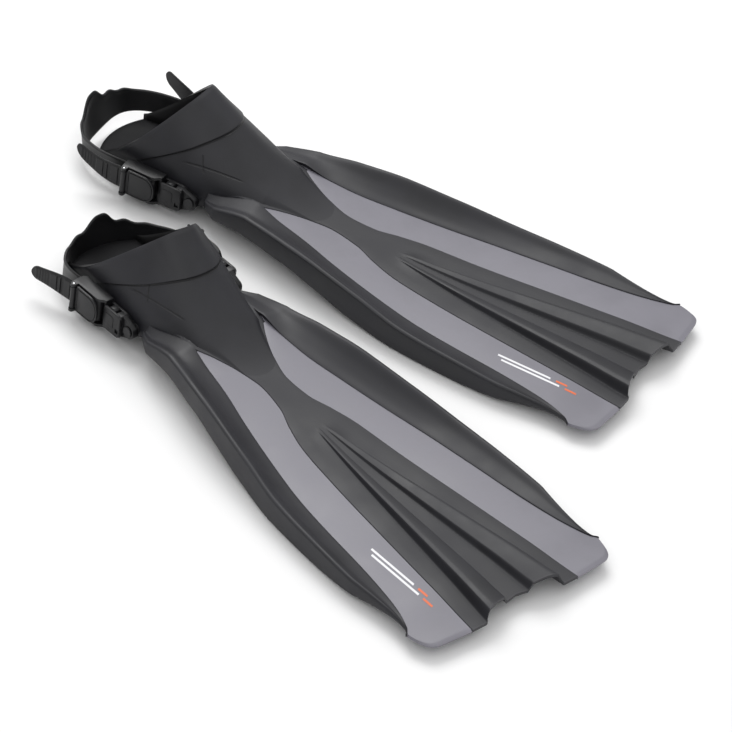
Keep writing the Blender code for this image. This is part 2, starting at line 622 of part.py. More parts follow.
def strap_path(name):
    """Middle line of the strap in plan, from one loose end round the heel to the other.

    Every item is the point and how far it lies along the free part of a loose end, 1 at its tip.
    """
    reach = WRAP + STRAP_THICKNESS / 2
    roller = Vector((STUD_X - ROLLER_U, ROLLER_N))
    tails = []
    for word in ("left", "right"):
        length = TAIL_LENGTH[name + "_" + word]
        tail = []
        for t in stations(1.0, 0.0, 9):
            free = max(0.0, (t * length - TAIL_HELD) / (length - TAIL_HELD))
            spot = Vector((roller.x - length * t, roller.y + reach + TAIL_FLARE[name] * free ** 1.3))
            tail.append((spot, free if t > 0.0 else 0.0))
        tails.append(tail)
    items = []
    for angle in stations(90.0, -90.0, 7)[1:]:
        turn = math.radians(angle)
        items.append((roller + reach * Vector((math.cos(turn), math.sin(turn))), 0.0))
    inner = roller.y - reach
    heel = SOLE_REAR - STRAP_REACH[name] - STRAP_THICKNESS / 2
    straight = STUD_X - FRAME_REAR
    roundness = STRAP_ROUND[name]
    items.append((Vector((mix(roller.x, straight, 0.5), inner)), 0.0))
    items.append((Vector((straight, inner)), 0.0))
    for t in stations(0.0, 1.0, 14)[1:]:
        turn = (1 - (1 - t) ** (1 / roundness)) * math.pi / 2
        x = mix(straight, heel, math.sin(turn))
        items.append((Vector((x, inner * max(math.cos(turn), 0.0) ** roundness)), 0.0))
    mirrored = [(Vector((point.x, -point.y)), t) for point, t in reversed(items[:-1])]
    far_end = [(Vector((point.x, -point.y)), t) for point, t in reversed(tails[1])]
    return tails[0] + items + mirrored + far_end


def heel_strap(name):
    path = strap_path(name)
    heel = SOLE_REAR - STRAP_REACH[name]
    start = STUD_X - FRAME_REAR
    sections = []
    for index, (point, free) in enumerate(path):
        before = path[max(index - 1, 0)][0]
        after = path[min(index + 1, len(path) - 1)][0]
        along_path = (after - before).normalized()
        side = Vector((along_path.y, -along_path.x)) * STRAP_THICKNESS / 2
        loose = abs(point.y) > ROLLER_N
        back = 0.0 if loose else smooth((start - point.x) / (start - heel))
        power = TAIL_CURL_POWER[name + ("_left" if point.y > 0 else "_right")]
        drop = mix(*STRAP_HEEL_DROP[name], smooth(0.5 + point.y / 0.08))
        middle = STUD_HEIGHT - drop * back + TAIL_CURL[name] * free ** power
        half = STRAP_WIDTH / 2 * mix(1.0, TAIL_TIP_SHARE, smooth(free))
        tab = 0.0
        if back > 0.0:
            off = abs(point.y - STRAP_TAB_SHIFT[name])
            tab = STRAP_TAB_HEIGHT * math.exp(-(off / 0.0165) ** 2.8)
            tab += 0.0075 * math.exp(-((off - 0.027) / 0.0085) ** 2)
        section = []
        for z in (middle - half, middle + half, middle + half + tab * 0.6 + 0.0002, middle + half + tab + 0.0004):
            lean = Vector((-STRAP_LEAN[name] * back * max(z - middle + half, 0.0) / 0.045, 0.0))
            outside, inside = point + side + lean, point - side + lean
            section.append(((outside.x, outside.y, z), (inside.x, inside.y, z)))
        sections.append(section)
    return shell_loft(sections)


def add_buckle(name, word, side, fin, gloss, steel, parts, cutters):
    """One side's stud, receiver, frame, release arms, lever and lever pin."""
    prefix = name + "_"
    stud = add_mesh(prefix + "stud_" + word, strap_stud(side), gloss, fin, parts)
    post = bmesh.new()
    add_rod(post, at(side, 0, STUD_BASE + 0.0005, 0), at(side, 0, STUD_TIP + 0.0005, 0), STUD_RADIUS, 20)
    head = bmesh.new()
    add_rod(head, at(side, 0, STUD_TIP, 0), at(side, 0, STUD_TIP + STUD_HEAD_THICKNESS, 0), STUD_HEAD_RADIUS, 24)
    for kind, mesh in (("post", post), ("head", head)):
        boolean(stud, cutter_from(prefix + "stud_" + kind + "_" + word, mesh, fin, cutters), 'UNION')
    for kind, build in (("receiver", receiver), ("buckle_frame", buckle_frame)):
        builder, steps = build(side, fin, cutters)
        part = add_mesh(prefix + kind + "_" + word, builder, gloss, fin, parts)
        for tool, operation in steps:
            boolean(part, tool, operation)
    for kind, up in (("upper", 1), ("lower", -1)):
        builder, pad = release_arm(side, up)
        part = add_mesh(prefix + kind + "_arm_" + word, builder, gloss, fin, parts)
        boolean(part, cutter_from(prefix + kind + "_pad_" + word, pad, fin, cutters), 'UNION')
    plate = add_mesh(prefix + "lever_" + word, lever(side), gloss, fin, parts)
    hinge = bmesh.new()
    half = STRAP_WIDTH / 2
    add_rod(hinge, at(side, LEVER_PIN_U, LEVER_PIN_N, -half - 0.01),
            at(side, LEVER_PIN_U, LEVER_PIN_N, half + 0.01), PIN_RADIUS + FIT_GAP, 16)
    boolean(plate, cutter_from(prefix + "lever_barrel_" + word, lever_barrel(side), fin, cutters), 'UNION')
    boolean(plate, cutter_from(prefix + "lever_hole_" + word, hinge, fin, cutters), 'DIFFERENCE')
    add_mesh(prefix + "lever_pin_" + word, lever_pin(side), steel, fin, parts)


def centre_pair(fins, parts):
    """Move both fins so that the origin is below the middle of the pair's box."""
    bpy.context.view_layer.update()
    view = bpy.context.evaluated_depsgraph_get()
    corners = []
    for part in parts.objects:
        if part.type == 'MESH':
            solid = part.evaluated_get(view)
            corners += [solid.matrix_world @ vertex.co for vertex in solid.data.vertices]
    low = Vector(map(min, zip(*corners)))
    high = Vector(map(max, zip(*corners)))
    for fin in fins:
        fin.location -= Vector(((low.x + high.x) / 2, (low.y + high.y) / 2, low.z))


def main():
    clear_scene()
    parts = bpy.data.collections.new("swim_fins")
    cutters = bpy.data.collections.new("cutters")
    for collection in (parts, cutters):
        bpy.context.scene.collection.children.link(collection)
    rubber = ((0.030, 0.030, 0.033), 0.55)
    grey = ((0.235, 0.228, 0.260), 0.42)
    gloss = ((0.012, 0.012, 0.013), 0.30)
    steel = ((0.55, 0.55, 0.56), 0.30, 1.0)
    fins = []
    for name, place, sign in (("near", (0.0, 0.0), -1), ("far", (-FIN_STAGGER, FIN_SPACING), 1)):
        fin = bpy.data.objects.new(name, None)
        fins.append(fin)
        fin.location = (*place, 0.0)
        fin.rotation_euler = (0.0, 0.0, math.radians(sign * FIN_TOE_OUT))
        parts.objects.link(fin)
        add_mesh(name + "_flute_web", flute_web(), rubber, fin, parts)
        add_mesh(name + "_footbed", footbed(), rubber, fin, parts)
        add_mesh(name + "_foot_pocket", foot_pocket(RIM_TOP_SETBACK[name]), rubber, fin, parts)
        add_mesh(name + "_collar", collar(RIM_TOP_SETBACK[name]), rubber, fin, parts)
        add_mesh(name + "_heel_strap", heel_strap(name), rubber, fin, parts)
        for word, side in (("right", -1), ("left", 1)):
            add_mesh(name + "_panel_" + word, blade_panel(side), grey, fin, parts)
            add_mesh(name + "_rail_" + word, side_rail(side), rubber, fin, parts)
            add_buckle(name, word, side, fin, gloss, steel, parts, cutters)
    centre_pair(fins, parts)


main()
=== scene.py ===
import math

import bmesh
import bpy
from mathutils import Matrix, Vector


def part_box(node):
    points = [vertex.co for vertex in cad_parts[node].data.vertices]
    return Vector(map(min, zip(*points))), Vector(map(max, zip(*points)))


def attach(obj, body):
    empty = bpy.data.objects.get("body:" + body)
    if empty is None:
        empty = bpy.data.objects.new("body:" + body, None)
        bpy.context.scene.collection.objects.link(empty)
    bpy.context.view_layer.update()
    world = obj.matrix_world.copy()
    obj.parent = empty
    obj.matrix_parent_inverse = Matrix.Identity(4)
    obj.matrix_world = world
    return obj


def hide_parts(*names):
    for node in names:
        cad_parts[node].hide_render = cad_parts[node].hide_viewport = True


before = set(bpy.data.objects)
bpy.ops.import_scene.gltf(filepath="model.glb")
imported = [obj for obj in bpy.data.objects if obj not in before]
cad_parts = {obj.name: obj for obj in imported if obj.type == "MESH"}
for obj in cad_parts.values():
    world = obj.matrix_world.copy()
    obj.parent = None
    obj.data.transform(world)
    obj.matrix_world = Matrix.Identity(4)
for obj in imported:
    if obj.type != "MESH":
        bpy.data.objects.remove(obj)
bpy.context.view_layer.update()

# ---- sizes shared with the CAD, metres, in each fin's own frame ------------------------------
# Tip corners on X = 0, heel towards -X, Y across the fin, floor at Z = 0.
BLADE_LENGTH, BLADE_HALF_WIDTH, BLADE_THICKNESS = 0.400, 0.1135, 0.0030
TIP_LIFT, BEND_START, BEND_RADIUS, TIP_BULGE = 0.0140, 0.165, 1.25, 0.0100
FLUTE_LENGTH, FLUTE_HEIGHT, FLUTE_VALLEY_HALF, FLUTE_OUTER_HALF = 0.270, 0.0110, 0.0125, 0.0440
RAIL_RISE, RAIL_ROOT, RAIL_ROOT_HEIGHT = 0.0160, 0.0520, 0.0285
FOOT_LENGTH, FOOT_HALF_WIDTH, HEEL_HALF_WIDTH, HEEL_BULGE = 0.184, 0.0560, 0.0425, 0.0115
SOLE_THICKNESS, POCKET_WALL = 0.0130, 0.0035
RIM_TOP_HEIGHT, RIM_BULGE = 0.1075, 0.0130
RIM_TOP_SETBACK = {"near": 0.1050, "far": 0.0880}
INSTEP_LENGTH, TONGUE_SHARE, TONGUE_SETBACK = 0.060, 0.40, 0.010
COLLAR_WIDTH, COLLAR_SIDE_SHARE, COLLAR_REACH = 0.0420, 0.60, 74.0
STRAP_WIDTH, STRAP_THICKNESS, STRAP_TAB_HEIGHT = 0.0240, 0.0022, 0.0215
STRAP_HEEL_DROP = {"near": (0.0105, 0.0105), "far": (0.0090, -0.0010)}
STRAP_LEAN, STRAP_TAB_SHIFT = {"near": 0.0, "far": 0.0090}, {"near": 0.0040, "far": -0.0080}
STRAP_REACH = {"near": 0.0122, "far": 0.0240}
STRAP_ROUND = {"near": 0.66, "far": 0.60}
TAIL_LENGTH = {"near_right": 0.078, "near_left": 0.052, "far_right": 0.078, "far_left": 0.078}
TAIL_FLARE, TAIL_CURL = {"near": 0.0120, "far": 0.0080}, {"near": 0.0, "far": 0.0190}
TAIL_CURL_POWER = {"near_right": 2.0, "near_left": 2.0, "far_right": 2.0, "far_left": 0.8}
TAIL_HELD, TAIL_TIP_SHARE, TAIL_ROUND_END, TAIL_RIBBED = 0.0328, 0.62, 0.0070, 0.046
TIP_RIBS, TIP_RIB_PITCH, TAIL_BLOCKS, TAIL_BLOCK_PITCH = 0.004, 0.0030, 0.019, 0.0160
TAB_HALF_WIDTH, STRAP_LEAN_HEIGHT = 0.0165, 0.045
TAB_SHOULDERS = ((0.0075, 0.027, 0.0085), (0.0025, 0.044, 0.006))    # height, distance, spread
STUD_X, STUD_HEIGHT, STUD_BASE = -0.464, 0.0250, 0.0564
STUD_RADIUS, STUD_HEAD_RADIUS, STUD_FLANGE, EYE_HOLE = 0.0034, 0.0054, 0.0020, 0.0038
EYE_BASE, CLIP_LOW, CLIP_LENGTH, CLIP_HALF, CLIP_WALL = 0.0588, 0.0588, 0.0310, 0.0125, 0.0026
CLIP_HIGH = CLIP_LOW + 0.0115
FRAME_FRONT, FRAME_REAR, FRAME_LOW = 0.0314, 0.0734, 0.0588
FRAME_HIGH, FRAME_CHEEK, FRAME_INSIDE = FRAME_LOW + 0.0142, 0.0030, STRAP_WIDTH / 2 + 0.0008
ARM_LENGTH, ARM_NEAR, ARM_FAR = 0.0190, 0.0054, 0.0082
ROLLER_U, ROLLER_N, ROLLER_RADIUS = 0.0434, FRAME_LOW + 0.0080, 0.0034
ROLLER_GAP, LEVER_GAP = 0.0004, 0.0008
LEVER_LOW = ROLLER_N + ROLLER_RADIUS + ROLLER_GAP + STRAP_THICKNESS + LEVER_GAP
LEVER_PIN_U, LEVER_PIN_N, PIN_RADIUS, LUG_RADIUS = 0.0692, LEVER_LOW + 0.0027, 0.0012, 0.0031
LEVER_THICKNESS, LEVER_HALF_WIDTH, LEVER_BARREL = 0.0022, 0.0140, 0.0027
SOLE_REAR = -BLADE_LENGTH - FOOT_LENGTH

PANEL_OUTER = ((1.0, 0.372), (0.93, 0.398), (0.86, 0.432), (0.76, 0.512), (0.63, 0.610),
               (0.50, 0.700), (0.38, 0.755), (0.25, 0.806), (0.13, 0.875), (0.06, 0.950),
               (0.0436, 1.0))
PANEL_INNER = ((1.0, 0.368), (0.955, 0.272), (0.89, 0.176), (0.825, 0.127), (0.76, 0.150),
               (0.70, 0.225), (0.63, 0.292), (0.50, 0.350), (0.25, 0.452), (-0.03, 0.558))
RIDGE_OUT = ((1.13, 0.585), (1.02, 0.610), (0.895, 0.705), (0.77, 0.794), (0.64, 0.873),
             (0.51, 0.950), (0.38, 0.986), (0.25, 1.004), (0.13, 1.006), (0.03, 0.995))
RIDGE_UP = ((1.13, 0.05), (1.02, 0.16), (0.895, 0.72), (0.77, 1.0), (0.64, 0.92),
            (0.51, 0.66), (0.38, 0.54), (0.25, 0.38), (0.13, 0.22), (0.03, 0.09))
RAIL_FOOT = ((1.16, 0.0170), (1.0, 0.0185), (0.86, 0.0170), (0.76, 0.0112), (0.65, 0.0036),
             (0.525, 0.0), (0.375, 0.0), (0.15, 0.0066), (0.03, 0.0128))

# ---- camera ------------------------------------------------------------------------------------
CAMERA_LENS, CAMERA_DISTANCE = 196.5, 3.6952
CAMERA_AZIMUTH, CAMERA_ELEVATION, CAMERA_ROLL = 0.7582, 0.6646, 0.152
CAMERA_TARGET = (-0.3153, 0.099, 0.014)      # in the near fin's frame

# ---- colours, and the accent's bars as (x from, x to, y from, y to) ------------------------------
BLACK, GREY = (0.0150, 0.0150, 0.0185), (0.168, 0.163, 0.190)
ACCENT_PALE = ((-0.118, -0.062, 0.0665, 0.0690), (-0.112, -0.050, 0.0715, 0.0740))
ACCENT_WARM = ((-0.056, -0.044, 0.0665, 0.0690), (-0.044, -0.032, 0.0715, 0.0740))

# ---- the upper's creases: start, end, the way the groove's sheet stands, and half its width ------
CREASES = [((x0, side * y0, z0), (x1, side * y1, z1), (0.0, side * 0.5, 0.87), width)
           for side in (-1, 1)
           for (x0, y0, z0), (x1, y1, z1), width in (
               ((-0.486, 0.050, 0.056), (-0.424, 0.031, 0.046), 0.0013),
               ((-0.462, 0.046, 0.050), (-0.470, 0.036, 0.062), 0.0011))]


# ---- curves ------------------------------------------------------------------------------------
def along(table, share):
    """Smooth curve through the table's points, read at one share of the length."""
    points = sorted(table)
    if share <= points[0][0]:
        return points[0][1]
    if share >= points[-1][0]:
        return points[-1][1]
    slopes = [(b[1] - a[1]) / (b[0] - a[0]) for a, b in zip(points, points[1:])]
    tangents = [slopes[0]]
    for left, right in zip(slopes, slopes[1:]):
        tangents.append(0.0 if left * right <= 0 else 2 * left * right / (left + right))
    tangents.append(slopes[-1])
    for index, (a, b) in enumerate(zip(points, points[1:])):
        if a[0] <= share <= b[0]:
            span = b[0] - a[0]
            t = (share - a[0]) / span
            return ((2 * t ** 3 - 3 * t ** 2 + 1) * a[1]
                    + (t ** 3 - 2 * t ** 2 + t) * span * tangents[index]
                    + (3 * t ** 2 - 2 * t ** 3) * b[1] + (t ** 3 - t ** 2) * span * tangents[index + 1])


def mix(a, b, t):
    """Value part of the way from a to b."""
    return a + (b - a) * t


def smooth(t):
    """Eased step from 0 to 1."""
    t = min(max(t, 0.0), 1.0)
    return t * t * (3 - 2 * t)


def stations(start, end, count):
    """Evenly spaced values, both ends included."""
    return [mix(start, end, index / (count - 1)) for index in range(count)]


def rounded(points, steps):
    """Catmull-Rom curve through 2-D points, steps points to a stretch."""
    ends = [points[0]] + list(points) + [points[-1]]
    curve = []
    for a, b, c, d in zip(ends, ends[1:], ends[2:], ends[3:]):
        for step in range(steps):
            t = step / steps
            curve.append(tuple(0.5 * (2 * q + (r - p) * t + (2 * p - 5 * q + 4 * r - s) * t * t
                                      + (3 * q - p - 3 * r + s) * t ** 3)
                               for p, q, r, s in zip(a, b, c, d)))
    return curve + [tuple(points[-1])]


def blade_top(x):
    """Height of the blade's upper face."""
    bend = max(0.0, -x - BEND_START)
    return TIP_LIFT + 0.0012 * smooth(-x / 0.05) + bend * bend / (2 * BEND_RADIUS)


def panel_outer(x):
    """Distance of a panel's outer edge from the middle."""
    return BLADE_HALF_WIDTH * along(PANEL_OUTER, -x / BLADE_LENGTH)


def panel_inner(x):
    """Distance of a panel's inner edge from the middle."""
    return BLADE_HALF_WIDTH * along(PANEL_INNER, -x / BLADE_LENGTH)


def tip_line(share):
    """X of the tip's edge, from the web (share 0) to the rail (share 1)."""
    return TIP_BULGE - 0.003 * share - (TIP_BULGE - 0.003 + 0.0436 * BLADE_LENGTH) * share ** 12


def sole_half(x):
    """Half the outer width of the sole."""
    t = (x - SOLE_REAR) / FOOT_LENGTH
    rear = mix(HEEL_HALF_WIDTH, FOOT_HALF_WIDTH, math.sin(min(max(t, 0.0) / 0.45, 1.0) * math.pi / 2))
    return mix(rear, panel_outer(-BLADE_LENGTH), smooth((t - 0.55) / 0.45))


def sole_top(x):
    """Height of the footbed's upper face."""
    rise = blade_top(-BLADE_LENGTH) - SOLE_THICKNESS
    return SOLE_THICKNESS + rise * smooth((x - SOLE_REAR) / FOOT_LENGTH)


def sole_under(x):
    """Height of the sole's underside."""
    t = (x - SOLE_REAR) / FOOT_LENGTH
    return (sole_top(-BLADE_LENGTH) - 0.008) * smooth((t - 0.30) / 0.70)


# ---- mesh helpers ------------------------------------------------------------------------------
def grid_mesh(builder, grid, closed=False, uv=None):
    """Add a grid of points to a bmesh; returns its rows of vertices."""
    rows = [[builder.verts.new(point) for point in line] for line in grid]
    layer = builder.loops.layers.uv.verify() if uv else None
    columns = len(grid[0])
    for row in range(len(rows) - 1):
        for column in range(columns if closed else columns - 1):
            after = (column + 1) % columns
            places = ((row, column), (row, after), (row + 1, after), (row + 1, column))
            face = builder.faces.new([rows[r][c] for r, c in places])
            if uv:
                for loop, (r, c) in zip(face.loops, places):
                    loop[layer].uv = uv[r][c]
    return rows


def stitch(builder, first, second):
    """Faces between two lines of vertices."""
    for a, b, c, d in zip(first, first[1:], second[1:], second):
        builder.faces.new((a, b, c, d))


def shell(outer, inner, uv=None):
    """Closed thin body from two grids of the same size."""
    builder = bmesh.new()
    top = grid_mesh(builder, outer, uv=uv)
    low = grid_mesh(builder, inner)
    stitch(builder, top[0], low[0])
    stitch(builder, top[-1], low[-1])
    for column in (0, -1):
        stitch(builder, [row[column] for row in top], [row[column] for row in low])
    return builder


def tube(rings, builder=None):
    """Closed body through rings of points, capped at both ends, in a new bmesh or the given one."""
    if builder is None:
        builder = bmesh.new()
    rows = grid_mesh(builder, rings, closed=True)
    builder.faces.new(rows[0])
    builder.faces.new(rows[-1])
    return builder


def add_piece(name, builder, place, shade, body, replaced=(), sharp=40):
    """Mesh object in the row's frame that rides on a body and stands for CAD nodes."""
    bmesh.ops.recalc_face_normals(builder, faces=builder.faces)
    mesh = bpy.data.meshes.new(name)
    builder.to_mesh(mesh)
    mesh.transform(place)
    mesh.shade_smooth()
    mesh.set_sharp_from_angle(angle=math.radians(sharp))
    mesh.materials.append(shade)
    piece = bpy.data.objects.new(name, mesh)
    bpy.context.scene.collection.objects.link(piece)
    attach(piece, body)
    if replaced:
        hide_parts(*replaced)
    return piece


def plate(builder, outlines, low, high, bevel, frame_of):
    """Add a bevelled flat plate; outlines are closed lists of 2-D points, holes included."""
    curve = bpy.data.curves.new("outline", 'CURVE')
    curve.dimensions = '2D'
    curve.fill_mode = 'BOTH'
    curve.bevel_depth = bevel
    curve.bevel_resolution = 2
    curve.extrude = (high - low) / 2 - bevel
    curve.offset = -bevel
    for outline in outlines:
        spline = curve.splines.new('POLY')
        spline.points.add(len(outline) - 1)
        for point, (a, b) in zip(spline.points, outline):
            point.co = (a, b, 0.0, 1.0)
        spline.use_cyclic_u = True
    holder = bpy.data.objects.new("outline", curve)
    mesh = bpy.data.meshes.new_from_object(holder)
    for vertex in mesh.vertices:
        a, b, c = vertex.co
        vertex.co = frame_of(a, b, c + (low + high) / 2)
    builder.from_mesh(mesh)
    bpy.data.objects.remove(holder)
    bpy.data.curves.remove(curve)
    bpy.data.meshes.remove(mesh)
    bmesh.ops.remove_doubles(builder, verts=builder.verts, dist=2e-6)


def rod(builder, start, end, radius, sides=32, bevel=0.0003):
    """Add a rod with softened ends between two points."""
    start, end = Vector(start), Vector(end)
    axis = (end - start).normalized()
    side = axis.orthogonal().normalized()
    other = axis.cross(side)
    turns = [2 * math.pi * step / sides for step in range(sides)]
    rings = ((start, radius - bevel), (start + axis * bevel, radius),
             (end - axis * bevel, radius), (end, radius - bevel))
    tube([[middle + (side * math.cos(turn) + other * math.sin(turn)) * size for turn in turns]
          for middle, size in rings], builder)


def box_outline(low, high, radius, steps=5):
    """Rounded rectangle between two 2-D corners."""
    points = []
    left, right = low[0] + radius, high[0] - radius
    near, far = low[1] + radius, high[1] - radius
    for cx, cy, start in ((right, far, 0), (left, far, 90), (left, near, 180), (right, near, 270)):
        for turn in stations(start, start + 90, steps):
            angle = math.radians(turn)
            points.append((cx + radius * math.cos(angle), cy + radius * math.sin(angle)))
    return points


# ---- materials ---------------------------------------------------------------------------------
def new_look(name, colour, roughness, metallic=0.0, gloss=0.5):
    """Plain Principled material, and its nodes for textures to join."""
    look = bpy.data.materials.new(name)
    look.use_nodes = True
    look.diffuse_color = (*colour, 1.0)
    nodes, links = look.node_tree.nodes, look.node_tree.links
    shader = nodes["Principled BSDF"]
    shader.inputs["Metallic"].default_value = metallic
    shader.inputs["Base Color"].default_value = (*colour, 1.0)
    shader.inputs["Roughness"].default_value = roughness
    shader.inputs["Specular IOR Level"].default_value = gloss
    return look, nodes, links, shader


def maths(nodes, links, operation, *values, clamp=False):
    node = nodes.new("ShaderNodeMath")
    node.operation = operation
    node.use_clamp = clamp
    for socket, value in zip(node.inputs, values):
        if isinstance(value, (int, float)):
            socket.default_value = value
        else:
            links.new(value, socket)
    return node.outputs[0]


def ramp(nodes, links, value, low, high, to_low=0.0, to_high=1.0):
    """Eased change from to_low to to_high as the value goes from low to high."""
    node = nodes.new("ShaderNodeMapRange")
    node.interpolation_type = 'SMOOTHSTEP'
    node.inputs["From Min"].default_value = low
    node.inputs["From Max"].default_value = high
    node.inputs["To Min"].default_value = to_low
    node.inputs["To Max"].default_value = to_high
    links.new(value, node.inputs["Value"])
    return node.outputs[0]


def noise(nodes, links, place, scale, detail=4.0, rough=0.55, stretch=None):
    node = nodes.new("ShaderNodeTexNoise")
    node.inputs["Scale"].default_value = scale
    node.inputs["Detail"].default_value = detail
    node.inputs["Roughness"].default_value = rough
    if stretch:
        mapping = nodes.new("ShaderNodeMapping")
        mapping.inputs["Scale"].default_value = stretch
        links.new(place, mapping.inputs["Vector"])
        place = mapping.outputs[0]
    links.new(place, node.inputs["Vector"])
    return node.outputs["Fac"]


def tint(nodes, links, factor, dark, light):
    """Colour between dark and light."""
    node = nodes.new("ShaderNodeMix")
    node.data_type = 'RGBA'
    links.new(factor, node.inputs["Factor"])
    for socket, colour in ((node.inputs[6], dark), (node.inputs[7], light)):
        if isinstance(colour, tuple):
            socket.default_value = (*colour, 1.0)
        else:
            links.new(colour, socket)
    return node.outputs[2]


def bump(nodes, links, height, strength, distance, before=None):
    node = nodes.new("ShaderNodeBump")
    node.inputs["Strength"].default_value = strength
    node.inputs["Distance"].default_value = distance
    links.new(height, node.inputs["Height"])
    if before:
        links.new(before, node.inputs["Normal"])
    return node.outputs[0]


def segment_mask(nodes, links, place, start, end, up, width):
    """One near the upright sheet through the line from start to end, zero past its width."""
    start, end = Vector(start), Vector(end)
    run = end - start
    shift = nodes.new("ShaderNodeVectorMath")
    shift.operation = 'SUBTRACT'
    links.new(place, shift.inputs[0])
    shift.inputs[1].default_value = start
    along_line = nodes.new("ShaderNodeVectorMath")
    along_line.operation = 'DOT_PRODUCT'
    links.new(shift.outputs[0], along_line.inputs[0])
    along_line.inputs[1].default_value = run / run.length_squared
    across = nodes.new("ShaderNodeVectorMath")
    across.operation = 'DOT_PRODUCT'
    links.new(shift.outputs[0], across.inputs[0])
    across.inputs[1].default_value = run.cross(Vector(up)).normalized()
    centred = maths(nodes, links, 'SUBTRACT', along_line.outputs["Value"], 0.5)
    ends = ramp(nodes, links, maths(nodes, links, 'ABSOLUTE', centred), 0.38, 0.52, 1.0, 0.0)
    away = maths(nodes, links, 'ABSOLUTE', across.outputs["Value"])
    return maths(nodes, links, 'MULTIPLY', ramp(nodes, links, away, width * 0.25, width, 1.0, 0.0), ends)


def moulded(name, colour, roughness, grain=0.10, mottle=0.18, lines=(), edge_highlight=0.35, groove=None, gloss=0.5):
    """Moulded rubber or plastic: fine grain, faint blotches, painted edge highlight, optional creases with
    painted shade.
    """
    look, nodes, links, shader = new_look(name, colour, roughness, gloss=gloss)
    place = nodes.new("ShaderNodeTexCoord").outputs["Object"]
    blotch = noise(nodes, links, place, 22.0, 5.0)
    speck = noise(nodes, links, place, 950.0, 2.0)
    dark = tuple(c * (1 - mottle) for c in colour)
    light = tuple(c * (1 + mottle) for c in colour)
    shade = tint(nodes, links, ramp(nodes, links, blotch, 0.35, 0.65), dark, light)
    # Painted highlight: convex edges, found from pointiness, are tinted paler, up to each look's given
    # share.
    edge = ramp(nodes, links, nodes.new("ShaderNodeNewGeometry").outputs["Pointiness"], 0.52, 0.60)
    edge_highlight_mix = maths(nodes, links, 'MULTIPLY', edge, edge_highlight)
    shade = tint(nodes, links, edge_highlight_mix, shade, tuple(min(1.0, c * 2.2 + 0.02) for c in colour))
    height = maths(nodes, links, 'MULTIPLY', speck, 0.25)
    crease = None
    for start, end, up, width in lines:
        # Painted shade: besides its bump, each crease darkens the colour towards a third of it along the
        # line.
        mask = segment_mask(nodes, links, place, start, end, up, width)
        step = maths(nodes, links, 'MULTIPLY', mask, -1.0)
        mark = tuple(c * 0.35 for c in colour)
        shade = tint(nodes, links, maths(nodes, links, 'MULTIPLY', mask, 0.75), shade, mark)
        crease = step if crease is None else maths(nodes, links, 'ADD', crease, step)
    if groove:
        uv = nodes.new("ShaderNodeUVMap").outputs[0]
        split = nodes.new("ShaderNodeSeparateXYZ")
        links.new(uv, split.inputs[0])
        away = maths(nodes, links, 'ABSOLUTE', split.outputs[1])
        mask = ramp(nodes, links, away, groove * 0.3, groove, 1.0, 0.0)
        ends = ramp(nodes, links, maths(nodes, links, 'ABSOLUTE', split.outputs[0]), 0.90, 1.0, 1.0, 0.0)
        mask = maths(nodes, links, 'MULTIPLY', mask, ends)
        step = maths(nodes, links, 'MULTIPLY', mask, -1.6)
        crease = step if crease is None else maths(nodes, links, 'ADD', crease, step)
        # Painted shadow: besides the bump, the colour goes nearly black along the collar groove.
        shade = tint(nodes, links, mask, shade, tuple(c * 0.12 for c in colour))
    normal = bump(nodes, links, height, grain, 0.0006)
    if crease is not None:
        normal = bump(nodes, links, crease, 0.8, 0.0006, normal)
    links.new(shade, shader.inputs["Base Color"])
    rough = ramp(nodes, links, blotch, 0.3, 0.7, roughness - 0.06, roughness + 0.06)
    links.new(rough, shader.inputs["Roughness"])
    links.new(normal, shader.inputs["Normal"])
    return look


def brushed_steel(name):
    look, nodes, links, shader = new_look(name, (0.55, 0.55, 0.56), 0.3, metallic=1.0)
    place = nodes.new("ShaderNodeTexCoord").outputs["Object"]
    streak = noise(nodes, links, place, 60.0, 6.0, stretch=(30.0, 30.0, 1.0))
    shade = tint(nodes, links, streak, (0.42, 0.42, 0.43), (0.62, 0.62, 0.63))
    links.new(shade, shader.inputs["Base Color"])
    links.new(ramp(nodes, links, streak, 0.3, 0.7, 0.22, 0.42), shader.inputs["Roughness"])
    links.new(bump(nodes, links, streak, 0.15, 0.0002), shader.inputs["Normal"])
    return look


def studio_floor(name):
    look, nodes, links, shader = new_look(name, (0.86, 0.86, 0.86), 0.7)
    place = nodes.new("ShaderNodeTexCoord").outputs["Object"]
    patch = noise(nodes, links, place, 3.0, 3.0)
    shade = tint(nodes, links, patch, (0.85, 0.85, 0.85), (0.88, 0.88, 0.88))
    links.new(shade, shader.inputs["Base Color"])
    return look


# ---- blade -------------------------------------------------------------------------------------
def web_edge_profile(gap):
    """Rounded top edge beside a grey panel: (distance in from the edge, height above the blade)."""
    return ((0.0, -0.0005), (0.0001, 0.0003), (0.0005, 0.0007), (0.0012, 0.0008), (gap, 0.0008))


def flute_height(y, wall, growth):
    """Height of the flutes above the web at a distance from the middle."""
    valley = wall * FLUTE_VALLEY_HALF / FLUTE_OUTER_HALF
    if growth <= 0.0:
        return 0.0
    rise = smooth((y - valley) / (0.10 * wall + 0.0006))
    crest = math.sin(min(max((y - valley) / (0.62 * wall), 0.0), 1.0) * math.pi / 2)
    drop = 1.0 - smooth((y - 0.90 * wall) / (0.115 * wall + 0.0004))
    shoulder = 1.0 - 0.10 * smooth((y - 0.78 * wall) / (0.16 * wall))
    return growth * rise * (0.55 + 0.45 * crest) * drop * shoulder


